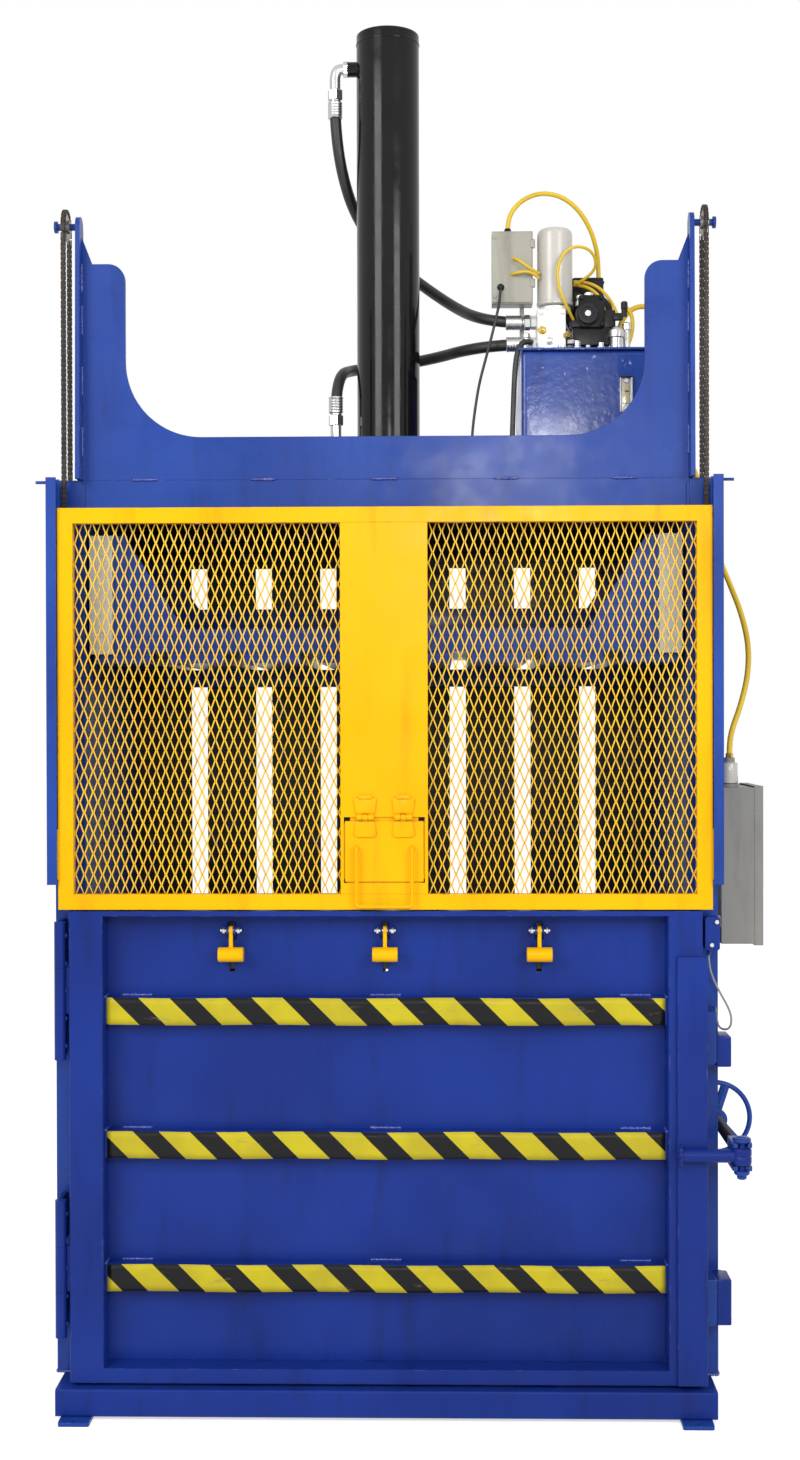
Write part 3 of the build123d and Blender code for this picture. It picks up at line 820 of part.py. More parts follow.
# Switch that proves the door shut, on a plate from the column
with BuildPart() as door_switch:
    slab(SWITCH_X, (KEEPER_FRONT, KEEPER_FRONT + SWITCH_T), SWITCH_Z)
    chamfer(door_switch.edges().filter_by(Axis.Y), 4.0)
    slab((SWITCH_X[0] + 10.0, SWITCH_X[1] - 10.0), (KEEPER_FRONT + SWITCH_T, COLUMN_FRONT), (SWITCH_Z[0] + 10.0, SWITCH_Z[1] - 10.0))
    for x, z in ((SWITCH_X[1] - 9.0, SWITCH_Z[1] - 12.0), (SWITCH_X[0] + 16.0, SWITCH_Z[0] + 14.0)):
        rod((x, KEEPER_FRONT - 3.0, z), 5.0, 6.0, "Y")
    rod((SWITCH_X[0] + 12.0, KEEPER_FRONT + SWITCH_T / 2, SWITCH_Z[0] - 7.0), THIN_D, 14.0, "Z")
save(door_switch, "door_switch")


def cord(points, diameter, name):
    """A round cord along straight runs joined by the largest arcs they allow."""
    points = [Vector(*point) for point in points]
    runs = [(b - a).length for a, b in zip(points, points[1:])]
    radii = []
    for i in range(1, len(points) - 1):
        turn = math.radians((points[i] - points[i - 1]).get_angle(points[i + 1] - points[i]))
        radii.append(0.45 * min(runs[i - 1], runs[i]) / math.tan(turn / 2))
    with BuildPart() as tube:
        with BuildLine() as path:
            FilletPolyline(*points, radius=radii)
        with BuildSketch(Plane(path.line @ 0, z_dir=path.line % 0)):
            Circle(diameter / 2)
        sweep()
    length = sum(edge.length for edge in path.line.edges())
    ratio = tube.part.volume / (math.pi * diameter ** 2 / 4 * length)
    print(f"{name}: length {length:.0f}, smallest radius {min(radii):.0f} of diameter {diameter:.0f}, "
          f"longest run {max(runs):.0f}, volume ratio {ratio:.4f}")
    save(tube, name)


MANIFOLD_PORT_X = MANIFOLD_X[0] - 20.0
PRESSURE_PORT_Y, PRESSURE_PORT_Z = MANIFOLD_Y[1] - 28.0, MANIFOLD_HIGH - 40.0
RETURN_PORT_Y, RETURN_PORT_Z = MANIFOLD_Y[0] + 25.0, TANK_TOP + 22.0
cord([(ELBOW_X, 0, PORT_Z - ELBOW_DROP - ELBOW_NUT_L), (ELBOW_X, 0, 3400), (-72, 150, 3200), (170, 140, 3010),
      (285, PRESSURE_PORT_Y, PRESSURE_PORT_Z), (MANIFOLD_PORT_X, PRESSURE_PORT_Y, PRESSURE_PORT_Z)],
     HOSE_D, "pressure_hose")
cord([(MANIFOLD_PORT_X, RETURN_PORT_Y, RETURN_PORT_Z), (270, RETURN_PORT_Y, RETURN_PORT_Z), (90, 150, 2846),
      (-100, 150, 2826), (ELBOW_X, 0, 2782), (ELBOW_X, 0, ELBOW_END + ELBOW_NUT_L)], HOSE_D, "return_hose")
cord([(JUNCTION_X[0] + 45.0, -45, JUNCTION_Z[1]), (JUNCTION_X[0] + 45.0, -45, 3200), (352, -40, 3238),
      (386, -30, 3272), (434, -16, 3292), (490, 2, 3288), (540, 24, 3258), (576, 50, 3212), (598, 78, 3160),
      (606, 100, 3112), (606, 100, MOTOR_Z + MOTOR_R + TERMINAL_H - 14.0)], YELLOW_D, "junction_cable")
cord([(655, 30, TANK_TOP), (655, 30, 2892), (666, 31, 2942), (700, 33, 2978), (748, 33, 2980), (782, 31, 2948),
      (790, 27, 2896), (790, 24, 2840), (788, 16, 2762), (796, 4, 2686), (816, -12, 2618),
      (840, -32, 2550), (868, -58, 2480), (888, -90, 2405),
      (898, -125, 2325), (912, -160, 2245), (938, -200, 2165), (962, -240, 2085), (975, -275, 2000),
      (968, -305, 1918), (945, -328, 1838), (920, -345, 1778), (GLAND_X, GLAND_Y, 1738),
      (GLAND_X, GLAND_Y, CONTROL_Z[1] + GLAND_H + 14.0)], CONDUIT_D, "control_cable")
cord([(SWITCH_X[0] + 12.0, KEEPER_FRONT + SWITCH_T / 2, SWITCH_Z[0] - 14.0),
      (SWITCH_X[0] + 12.0, KEEPER_FRONT + SWITCH_T / 2, 1165), (848, -484, 1128), (868, -482, 1090), (888, -478, 1055),
      (898, -472, 1024), (892, -466, 996), (868, -452, 996), (862, -444, 1022), (862, -438, 1046),
      (862, COLUMN_FRONT, 1046)], THIN_D, "switch_cable")
cord([(JUNCTION_X[0] + 24.0, JUNCTION_Y[0] - 8.0, 3010), (314, -92, 2968), (302, -98, 2915), (288, -98, 2858),
      (272, -94, 2800), (256, -90, 2740), (246, -86, 2680), (238, -84, 2620), (234, -84, 2560), (232, -86, 2500),
      (232, -86, FRAME_TOP)], THIN_D * 1.4, "sensor_cable")
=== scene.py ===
import random
from math import cos, pi, radians, sin, tau

import bmesh
import bpy
from mathutils import Matrix, Vector


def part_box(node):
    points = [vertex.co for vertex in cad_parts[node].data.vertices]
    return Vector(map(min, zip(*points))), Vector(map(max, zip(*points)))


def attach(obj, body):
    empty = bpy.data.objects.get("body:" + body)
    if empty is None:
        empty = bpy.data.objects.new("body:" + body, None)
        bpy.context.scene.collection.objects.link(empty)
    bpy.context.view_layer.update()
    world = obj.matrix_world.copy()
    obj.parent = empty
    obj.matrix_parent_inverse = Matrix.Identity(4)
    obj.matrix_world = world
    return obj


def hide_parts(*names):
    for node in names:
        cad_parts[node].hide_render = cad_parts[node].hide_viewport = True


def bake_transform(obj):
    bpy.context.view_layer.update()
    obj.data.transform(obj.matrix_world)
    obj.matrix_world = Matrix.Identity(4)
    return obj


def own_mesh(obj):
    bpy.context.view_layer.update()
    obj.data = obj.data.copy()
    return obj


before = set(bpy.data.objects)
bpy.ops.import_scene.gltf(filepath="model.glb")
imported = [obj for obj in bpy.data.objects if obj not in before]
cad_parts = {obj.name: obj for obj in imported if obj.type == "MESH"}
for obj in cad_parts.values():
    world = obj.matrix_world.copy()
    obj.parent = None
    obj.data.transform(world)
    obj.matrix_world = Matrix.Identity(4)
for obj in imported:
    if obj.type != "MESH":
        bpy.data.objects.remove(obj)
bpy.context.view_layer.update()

# The photographer's place: about five metres in front of the machine at head height,
# turned a degree to the left. The photograph is 800 by 1460 pixels.
PHOTO_HEIGHT_PX = 1460
FOCAL_PX = 1840.0
EYE = (0.138, -5.245, 1.81)
TURN_LEFT, LOOK_DOWN, ROLL = 0.0205, 0.0074, 0.0024
camera = bpy.data.objects.new("camera", bpy.data.cameras.new("camera"))
camera.data.sensor_fit = "VERTICAL"
camera.data.sensor_height = 36.0
camera.data.lens = FOCAL_PX / PHOTO_HEIGHT_PX * camera.data.sensor_height
camera.location = EYE
camera.rotation_euler = (pi / 2 - LOOK_DOWN, ROLL, TURN_LEFT)
bpy.context.collection.objects.link(camera)
bpy.context.scene.camera = camera
bpy.context.scene.view_settings.view_transform = "Standard"


# The studio: a sky that is white to the camera and in reflections, a pale floor that keeps
# the shadow, two large soft lamps and a small one that draws the highlights on the cylinder.
def put(tree, kind, wires=None, **props):
    """Adds a node, of the tree's own family unless its kind names one, with its sockets and properties."""
    node = tree.nodes.new(kind if "Node" in kind else tree.bl_idname.replace("Tree", kind))
    for key, value in props.items():
        setattr(node, key, value)
    for key, value in (wires or {}).items():
        if isinstance(value, bpy.types.NodeSocket):
            tree.links.new(value, node.inputs[key])
        else:
            node.inputs[key].default_value = value
    return node


def out(tree, kind, wires=None, **props):
    """The first output of such a node."""
    return put(tree, kind, wires, **props).outputs[0]


def sum_of(tree, first, second, operation):
    return out(tree, "ShaderNodeMath", {0: first, 1: second}, operation=operation)


def placed(name, data):
    """An object with this data, in the scene."""
    thing = bpy.data.objects.new(name, data)
    bpy.context.collection.objects.link(thing)
    return thing


def carried(piece, body, stands_for=None):
    """Lets a piece ride on its body, in place of the CAD pieces that it stands for."""
    if body:
        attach(piece, body)
    if stands_for is not None:
        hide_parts(*stands_for)
    return piece


def seen_plainly(tree):
    """One for rays from the camera, a mirror or glass, otherwise nought."""
    rays = put(tree, "LightPath").outputs
    either = sum_of(tree, rays["Is Camera Ray"], rays["Is Glossy Ray"], "MAXIMUM")
    return sum_of(tree, either, rays["Is Transmission Ray"], "MAXIMUM")


SKY_LEVEL = 0.6
world = bpy.data.worlds.new("studio")
bpy.context.scene.world = world
world.use_nodes = True
sky = world.node_tree
sky.nodes.clear()
strength = out(sky, "MapRange", {"Value": seen_plainly(sky), "To Min": SKY_LEVEL, "To Max": 1.0})
glow = out(sky, "Background", {"Strength": strength, "Color": (1, 1, 1, 1)})
put(sky, "OutputWorld", {"Surface": glow})


def lamp(name, place, aim, size, power):
    light = bpy.data.lights.new(name, "AREA")
    light.size = size
    light.energy = power
    holder = placed(name, light)
    holder.location = place
    holder.rotation_euler = (Vector(aim) - Vector(place)).to_track_quat("-Z", "Y").to_euler()


lamp("lamp_left", (-3.6, -5.0, 4.4), (0, 0, 1.7), 2.6, 170)
lamp("lamp_right", (3.4, -5.2, 3.8), (0, 0, 1.7), 2.2, 120)
lamp("lamp_middle", (0.5, -5.6, 3.0), (0, -0.4, 2.2), 0.7, 50)

FLOOR_HALF = 14.0
floor_mesh = bpy.data.meshes.new("floor")
floor_mesh.from_pydata([(x * FLOOR_HALF, y * FLOOR_HALF, 0) for x, y in ((-1, -1), (1, -1), (1, 1), (-1, 1))],
    [], [(0, 1, 2, 3)])
floor = placed("floor", floor_mesh)
floor_paint = bpy.data.materials.new("studio_floor")
floor_paint.use_nodes = True
shade = floor_paint.node_tree
shade.nodes.clear()
FLOOR_GLOW = 0.6
matt = out(shade, "BsdfDiffuse", {"Color": (0.78, 0.78, 0.78, 1)})
lift = out(shade, "Emission", {"Strength": FLOOR_GLOW})
both = out(shade, "AddShader", {0: matt, 1: lift})
pick = out(shade, "MixShader", {0: seen_plainly(shade), 1: matt, 2: both})
put(shade, "OutputMaterial", {"Surface": pick})
floor_mesh.materials.append(floor_paint)


# The cords and hoses: two braided hydraulic hoses with a rubber skin, yellow four-core cable
# and a thin black lead. All were bent by hand and clipped where they end.
def noise(tree, scale, detail=3.0, rough=0.5, stretch=(1, 1, 1)):
    """Cloudy texture in the piece's own coordinates."""
    place = put(tree, "TexCoord").outputs["Object"]
    if stretch != (1, 1, 1):
        place = out(tree, "Mapping", {"Vector": place, "Scale": stretch})
    return put(tree, "TexNoise", {"Vector": place, "Scale": scale, "Detail": detail,
        "Roughness": rough}).outputs["Fac"]


def band(tree, value, low, high, start=0.0, end=1.0):
    return out(tree, "MapRange", {"Value": value, "From Min": low, "From Max": high, "To Min": start,
        "To Max": end}, interpolation_type="SMOOTHSTEP")


def tint(tree, factor, first, second):
    first, second = ((*c, 1) if isinstance(c, tuple) else c for c in (first, second))
    return put(tree, "Mix", {0: factor, 6: first, 7: second}, data_type="RGBA").outputs[2]


def blank(name):
    """A new material, its node tree and its surface node."""
    material = bpy.data.materials.new(name)
    material.use_nodes = True
    return material, material.node_tree, material.node_tree.nodes["Principled BSDF"]


def finish(name, light, dark, roughness=0.4, metallic=0.0, grain=(60.0, 0.15, 0.0008), swell=0.0, worn=None,
        wear=0.215, grime=None, dirt=0.3, coat=0.0, edge=0.003, shine=0.5):
    """Two-tone surface with grime, worn edges and spots, uneven roughness, and grain as bump."""
    material, tree, surface = blank(name)
    tone = tint(tree, band(tree, noise(tree, 2.1), 0.35, 0.65), light, dark)
    streak = noise(tree, 6.0, 4.0, 0.6, (2.5, 2.5, 0.4))
    tone = tint(tree, band(tree, streak, 0.5, 0.8, 0.0, dirt), tone, grime or tuple(c * 0.5 for c in dark))
    round_edge = out(tree, "Bevel", {"Radius": edge}, samples=4)
    if worn:
        flat = put(tree, "NewGeometry").outputs["True Normal"]
        along = put(tree, "VectorMath", {0: round_edge, 1: flat}, operation="DOT_PRODUCT").outputs["Value"]
        rubbed = sum_of(tree, band(tree, along, 0.995, 0.9),
            band(tree, noise(tree, 24.0, 5.0, 0.7), 0.52, 0.64), "MULTIPLY")
        spots = band(tree, noise(tree, 34.0, 6.0, 0.7), 0.98 - wear, 1.0 - wear)
        tone = tint(tree, sum_of(tree, rubbed, spots, "MAXIMUM"), tone, worn)
    tree.links.new(tone, surface.inputs["Base Color"])
    uneven = band(tree, noise(tree, 11.0, 5.0, 0.6), 0.25, 0.75, max(0.03, roughness - 0.07),
        min(1.0, roughness + 0.13))
    tree.links.new(uneven, surface.inputs["Roughness"])
    for socket, value in (("Metallic", metallic), ("Coat Weight", coat), ("Specular IOR Level", shine),
            ("Coat Roughness", 0.12)):
        surface.inputs[socket].default_value = value
    normal = out(tree, "Bump", {"Height": noise(tree, grain[0], 3.0), "Strength": grain[1],
        "Distance": grain[2], "Normal": round_edge})
    if swell:
        normal = out(tree, "Bump", {"Height": noise(tree, 3.0, 1.0), "Strength": swell, "Distance": 0.012,
            "Normal": normal})
    tree.links.new(normal, surface.inputs["Normal"])
    return material


hose_rubber = finish("hose_rubber", (0.018, 0.018, 0.02), (0.01, 0.01, 0.011), 0.42,
    grain=(160.0, 0.35, 0.0006), grime=(0.06, 0.055, 0.05), dirt=0.25)
lead_yellow = finish("lead_yellow", (0.8, 0.55, 0.02), (0.66, 0.42, 0.012), 0.4, grain=(220.0, 0.2, 0.0004),
    grime=(0.22, 0.15, 0.03), dirt=0.35)
lead_grey = finish("lead_grey", (0.3, 0.3, 0.29), (0.22, 0.22, 0.21), 0.45, grain=(220.0, 0.2, 0.0003))
lead_black = finish("lead_black", (0.022, 0.022, 0.024), (0.014, 0.014, 0.015), 0.45,
    grain=(220.0, 0.2, 0.0003))


def tube(name, points, diameter, material, order, sides, steps):
    """A round bar bent along one smooth NURBS through the route's points."""
    curve = bpy.data.curves.new(name, "CURVE")
    curve.dimensions = "3D"
    curve.bevel_depth = diameter / 2
    curve.bevel_resolution = sides
    curve.resolution_u = steps
    curve.use_fill_caps = True
    line = curve.splines.new("NURBS")
    line.points.add(len(points) - 1)
    for knot, point in zip(line.points, points):
        knot.co = (*point, 1)
    line.use_endpoint_u = True
    line.order_u = order
    curve.materials.append(material)
    return placed(name, curve)


def lead(node, points, diameter, material):
    """A cord, which stands for its CAD solid."""
    piece = carried(tube("lead_" + node, points, diameter, material, 3, 5, 16), "frame", [node])


HOSE_D, YELLOW_D, CONDUIT_D, THIN_D, SENSOR_D = 0.032, 0.013, 0.015, 0.0055, 0.0077
lead("pressure_hose", [(-0.15, 0, 3.564), (-0.15, 0, 3.4), (-0.072, 0.15, 3.2), (0.17, 0.14, 3.01),
    (0.285, -0.033, 2.921), (0.398, -0.033, 2.921)], HOSE_D, hose_rubber)
lead("return_hose", [(0.398, -0.07, 2.852), (0.27, -0.07, 2.852), (0.09, 0.15, 2.846), (-0.1, 0.15, 2.826),
    (-0.15, 0, 2.782), (-0.15, 0, 2.666)], HOSE_D, hose_rubber)
lead("junction_cable", [(0.338, -0.045, 3.168), (0.338, -0.045, 3.2), (0.352, -0.04, 3.238),
    (0.386, -0.03, 3.272), (0.434, -0.016, 3.292), (0.49, 0.002, 3.288), (0.54, 0.024, 3.258),
    (0.576, 0.05, 3.212), (0.598, 0.078, 3.16), (0.606, 0.1, 3.112),
    (0.606, 0.1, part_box("junction_cable")[0].z)], YELLOW_D, lead_yellow)
lead("control_cable", [(0.655, 0.03, 2.83), (0.655, 0.03, 2.892), (0.666, 0.031, 2.942), (0.7, 0.033, 2.978),
    (0.748, 0.033, 2.98), (0.782, 0.031, 2.948), (0.79, 0.027, 2.896), (0.79, 0.024, 2.84),
    (0.788, 0.016, 2.762), (0.796, 0.004, 2.686), (0.816, -0.012, 2.618), (0.84, -0.032, 2.55),
    (0.868, -0.058, 2.48), (0.888, -0.09, 2.405), (0.898, -0.125, 2.325), (0.912, -0.16, 2.245),
    (0.938, -0.2, 2.165), (0.962, -0.24, 2.085), (0.975, -0.275, 2.0), (0.968, -0.305, 1.918),
    (0.945, -0.328, 1.838), (0.92, -0.345, 1.778), (0.911, -0.35, 1.738),
    (0.911, -0.35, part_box("control_cable")[0].z)], CONDUIT_D, lead_yellow)
lead("switch_cable", [(0.836, -0.485, 1.193), (0.836, -0.485, 1.165), (0.848, -0.484, 1.128),
    (0.868, -0.482, 1.09), (0.888, -0.478, 1.055), (0.898, -0.472, 1.024), (0.892, -0.466, 0.996),
    (0.868, -0.452, 0.996), (0.862, -0.444, 1.022), (0.862, -0.438, 1.046), (0.862, -0.415, 1.046)], THIN_D,
    lead_grey)
lead("sensor_cable", [(0.317, -0.083, 3.01), (0.314, -0.092, 2.968), (0.302, -0.098, 2.915),
    (0.288, -0.098, 2.858), (0.272, -0.094, 2.8), (0.256, -0.09, 2.74), (0.246, -0.086, 2.68),
    (0.238, -0.084, 2.62), (0.234, -0.084, 2.56), (0.232, -0.086, 2.5), (0.232, -0.086, 2.433)], SENSOR_D,
    lead_black)


# The welded body: base of tube, side walls, columns, header, yoke and crossheads in mild steel,
# sprayed in one thick coat of blue gloss enamel that is rubbed at the edges.
BLUE, BLUE_DEEP, PRIMER = (0.014, 0.06, 0.33), (0.011, 0.044, 0.26), (0.1, 0.15, 0.3)
blue_enamel = finish("blue_enamel", BLUE, BLUE_DEEP, 0.3, grain=(70.0, 0.22, 0.001), swell=0.16, worn=PRIMER,
    wear=0.225, grime=(0.01, 0.018, 0.09), dirt=0.4, coat=0.05, shine=0.2)
# Inside the chamber: near-black steel, darkened as painted shade because the chamber lies unlit, with real
# scuffs and rust in its worn spots and streaks.
chamber_steel_in_shade = finish("scuffed_chamber_steel_in_shade", (0.02, 0.022, 0.05), (0.012, 0.011, 0.014), 0.5,
    grain=(40.0, 0.3, 0.0012), worn=(0.07, 0.055, 0.045), wear=0.3, grime=(0.035, 0.022, 0.012), dirt=0.7)


def dress(material, *names):
    """Gives CAD pieces their finish."""
    for name in names:
        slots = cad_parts[name].data.materials
        slots.clear()
        slots.append(material)


dress(blue_enamel, "anchor_feet", "columns", "gate_rails", "yoke_plate", "chain_uprights", "top_deck",
    "side_walls", "latch_screw", "latch_bracket", "handwheel", "platen", "oil_tank")
# The same blue enamel as the body, darker as painted shade: the door, base, hinges, keepers and latch parts
# low on the front take this shaded copy.
blue_enamel_in_shade = finish("blue_enamel_in_shade", (0.0085, 0.033, 0.245), (0.0065, 0.024, 0.19), 0.33,
    grain=(70.0, 0.22, 0.001), swell=0.16, worn=PRIMER, grime=(0.006, 0.011, 0.06), dirt=0.45, shine=0.16)
dress(blue_enamel_in_shade, "base_frame", "frame_hinges", "door_switch", "door_frame", "door_skin", "door_ribs",
    "door_hinge_leaves", "latch_bar")
dress(chamber_steel_in_shade, "floor_plate")
# The back wall: body blue on its outer face, and near-black painted shade on the face towards the unlit
# chamber, varying at random towards brown.
wall_coat = blue_enamel.copy()
wall_coat.name = "wall_coat"
tree = wall_coat.node_tree
surface = tree.nodes["Principled BSDF"]
depth = put(tree, "SeparateXYZ", {0: put(tree, "TexCoord").outputs["Object"]}).outputs["Y"]
painted_chamber_shade = tint(tree, band(tree, noise(tree, 3.0, 5.0), 0.35, 0.7), (0.01, 0.01, 0.016), (0.03, 0.022, 0.017))
wall_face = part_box("back_wall")[0].y
outer = band(tree, depth, wall_face + 0.003, wall_face + 0.0045)
tree.links.new(tint(tree, outer, painted_chamber_shade, surface.inputs["Base Color"].links[0].from_socket),
    surface.inputs["Base Color"])
dress(wall_coat, "back_wall")


# Weld beads: each joint of the body is a row of small overlapping ripples of weld metal under
# the paint, laid by hand, so that their size wavers.
def new_tree(name, inlet=None, **sizes):
    """An empty Geometry Nodes tree with a float input for each size, and a shape if asked."""
    tree = bpy.data.node_groups.new(name, "GeometryNodeTree")
    tree.interface.new_socket("Geometry", in_out="OUTPUT", socket_type="NodeSocketGeometry")
    if inlet:
        tree.interface.new_socket(inlet, in_out="INPUT", socket_type="NodeSocketGeometry")
    for size in sizes:
        tree.interface.new_socket(size, in_out="INPUT", socket_type="NodeSocketFloat")
    entry = tree.nodes.new("NodeGroupInput")
    return tree, entry.outputs


def close_tree(tree, shape, material):
    """Ends a tree with real geometry in its finish."""
    solid = out(tree, "RealizeInstances", {0: shape})
    dressed = out(tree, "SetMaterial", {"Geometry": solid, "Material": material})
    end = tree.nodes.new("NodeGroupOutput")
    tree.links.new(dressed, end.inputs[0])


def xyz(tree, x=0.0, y=0.0, z=0.0):
    return out(tree, "ShaderNodeCombineXYZ", {0: x, 1: y, 2: z})


def grown(name, tree, sizes, body, mesh=None):
    """Runs a tree at the given sizes and keeps the result as a plain mesh on its body."""
    piece = placed(name, mesh or bpy.data.meshes.new(name))
    modifier = piece.modifiers.new("tree", "NODES")
    modifier.node_group = tree
    for socket in tree.interface.items_tree:
        if socket.in_out == "INPUT" and socket.name in sizes:
            modifier[socket.identifier] = sizes[socket.name]
    piece.data.update()
    result = bpy.data.meshes.new_from_object(piece.evaluated_get(bpy.context.evaluated_depsgraph_get()))
    piece.modifiers.remove(modifier)
    piece.data = result
    result.name = name
    return carried(piece, body)


def pathways(name, runs):
    """A mesh of loose edges, one chain for each run of points."""
    mesh = bpy.data.meshes.new(name)
    spots, edges = [], []
    for run in runs:
        edges += [(len(spots) + i, len(spots) + i + 1) for i in range(len(run) - 1)]
        spots += run
    mesh.from_pydata(spots, edges, [])
    return mesh


def weld_tree(material):
    tree, size = new_tree("weld_bead", "Seams", Pitch=0, Radius=0)
    line = out(tree, "MeshToCurve", {0: size["Seams"]})
    steps = out(tree, "ResampleCurve", {"Curve": line, "Length": size["Pitch"]}, mode="LENGTH")
    ball = out(tree, "MeshIcoSphere", {"Radius": size["Radius"], "Subdivisions": 2})
    big = put(tree, "FunctionNodeRandomValue", {2: 0.75, 3: 1.25, "Seed": 4}).outputs[1]
    squash = xyz(tree, big, big, big)
    beads = out(tree, "InstanceOnPoints", {"Points": steps, "Instance": ball, "Scale": squash})
    smooth = out(tree, "SetShadeSmooth", {"Geometry": beads})
    close_tree(tree, smooth, material)
    return tree


BEAD_PITCH, BEAD_R = 0.0042, 0.0042
fresh_weld = finish("painted_weld", (0.035, 0.07, 0.37), (0.018, 0.036, 0.26), 0.22,
    grain=(300.0, 0.3, 0.0006), worn=(0.34, 0.38, 0.46), wear=0.3, coat=0.5, edge=0.001)
bead_tree = weld_tree(fresh_weld)


def weld(name, body, runs):
    grown(name, bead_tree, {"Pitch": BEAD_PITCH, "Radius": BEAD_R}, body,
        pathways(name + "_path", runs))


RIB_LEVELS, RIB_H, RIB_FRONT = (0.355, 0.7, 1.047), 0.072, -0.497
SKIN_FRONT, STILE_INNER = -0.453, 0.728
STITCH, PROUD = 0.075, 0.001
rib_top, wall_x = RIB_H / 2 + 0.0008, STILE_INNER - PROUD
runs = []
for z in RIB_LEVELS:
    for x in (-STILE_INNER + 0.04, -STITCH / 2, STILE_INNER - STITCH - 0.04):
        runs.append([(x + share, SKIN_FRONT - PROUD, z + rib_top) for share in (0, STITCH)])
    for s in (-1, 1):
        for height in (-0.03, rib_top):
            runs.append([(s * wall_x, y, z + height) for y in (SKIN_FRONT - 0.003, RIB_FRONT + 0.006)])
weld("door_welds", "door", runs)
YOKE_EDGE, DECK_TOP, BASE_TOP = 0.7965, 2.433, 0.081
yoke_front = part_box("yoke_plate")[0].y
runs = [[(x + share, yoke_front - PROUD, DECK_TOP + PROUD) for share in (0, 0.06)]
    for x in (-0.66, -0.35, -0.03, 0.29, 0.6)]
runs += [[(s * YOKE_EDGE, yoke_front - 0.0005, z + share) for share in (0, 0.07)] for s in (-1, 1)
    for z in (2.5, 2.66, 2.82, 2.93)]
weld("yoke_welds", "frame", runs)
COLUMN_SEAM_X, COLUMN_SEAM_Y = 0.8705, -0.416
runs = [[(s * x, COLUMN_SEAM_Y, BASE_TOP + PROUD) for x in (0.8, 0.868)] for s in (-1, 1)]
runs += [[(s * COLUMN_SEAM_X, y, BASE_TOP + PROUD) for y in (-0.41, -0.34)] for s in (-1, 1)]
weld("foot_welds", "frame", runs)


# Hazard tape: vinyl tape with slanting black bars, stuck on the front of the three ribs by hand.
# It is slightly wavy, cut off square at its ends and scuffed by passing bales.
def hazard_vinyl():
    material, tree, surface = blank("hazard_vinyl")
    place = put(tree, "SeparateXYZ", {0: put(tree, "TexCoord").outputs["Object"]}).outputs
    across = sum_of(tree, sum_of(tree, place["X"], place["Z"], "ADD"), STRIPE_PITCH, "DIVIDE")
    stripe = band(tree, sum_of(tree, across, 0.0, "FRACT"), STRIPE_SHARE - 0.004, STRIPE_SHARE + 0.004)
    yellow = tint(tree, band(tree, noise(tree, 9.0, 4.0), 0.3, 0.7), (0.56, 0.47, 0.016), (0.46, 0.38, 0.02))
    tone = tint(tree, stripe, yellow, (0.007, 0.007, 0.008))
    scuff = band(tree, noise(tree, 30.0, 6.0, 0.75, (0.25, 1, 1)), 0.6, 0.72, 0.0, 0.5)
    tone = tint(tree, scuff, tone, (0.2, 0.18, 0.12))
    tree.links.new(tone, surface.inputs["Base Color"])
    surface.inputs["Specular IOR Level"].default_value = 0.18
    tree.links.new(band(tree, noise(tree, 16.0, 5.0), 0.3, 0.7, 0.28, 0.48), surface.inputs["Roughness"])
    bump = out(tree, "Bump", {"Height": noise(tree, 22.0, 2.0), "Strength": 0.12, "Distance": 0.002})
    tree.links.new(bump, surface.inputs["Normal"])
    return material


STRIPE_PITCH, STRIPE_SHARE = 0.1475, 0.545
TAPE_H, TAPE_T, TAPE_HALF, TAPE_CELLS = 0.07, 0.0004, 0.722, 96
hazard = hazard_vinyl()
for i, z in enumerate(RIB_LEVELS):
    draw = random.Random(31 + i)
    shape = bmesh.new()
    rows = []
    for k in range(TAPE_CELLS + 1):
        x = -TAPE_HALF + 2 * TAPE_HALF * k / TAPE_CELLS
        waver = 0.0012 * sin(k * 0.21 + i) + draw.uniform(-0.0002, 0.0002)
        rows.append([shape.verts.new((x, RIB_FRONT - TAPE_T - 0.0002 * (k % 3 == 0),
            z + waver + side * TAPE_H / 2)) for side in (-1, -0.5, 0, 0.5, 1)])
    for a, b in zip(rows, rows[1:]):
        for j in range(4):
            shape.faces.new((a[j], b[j], b[j + 1], a[j + 1]))
    tape_mesh = bpy.data.meshes.new(f"hazard_tape_{i + 1}")
    shape.to_mesh(tape_mesh)
    shape.free()
    tape_mesh.materials.append(hazard)
    tape_mesh.shade_smooth()
    tape = placed(f"hazard_tape_{i + 1}", tape_mesh)
    thick = tape.modifiers.new("thick", "SOLIDIFY")
    thick.thickness = TAPE_T
    thick.offset = -1
    carried(tape, "door")


# The lift gate: a frame of square tube and a folded middle panel in golden yellow gloss enamel.
# The enamel is thick and smooth, with a bright run of light down the middle.
gate_yellow = finish("gate_yellow", (0.9, 0.48, 0.001), (0.86, 0.43, 0.001), 0.26, grain=(55.0, 0.1, 0.001),
    swell=0.12, worn=(0.42, 0.25, 0.04), grime=(0.42, 0.2, 0.006), dirt=0.38, shine=0.12)
dress(gate_yellow, "gate_frame", "gate_panel", "gate_flap", "gate_grip", "retainer_dog_1", "retainer_dog_2",
    "retainer_dog_3")


# Expanded metal: sheet that is slit and drawn into diamonds 23 mm wide and 54 mm high. The
# strands stand on edge at a slant, meet in short bonds, and are welded behind the frame.
def flips(tree):
    """One and minus one in turn along the points."""
    odd = sum_of(tree, out(tree, "InputIndex"), 2.0, "MODULO")
    return sum_of(tree, 1.0, sum_of(tree, odd, 2.0, "MULTIPLY"), "SUBTRACT")


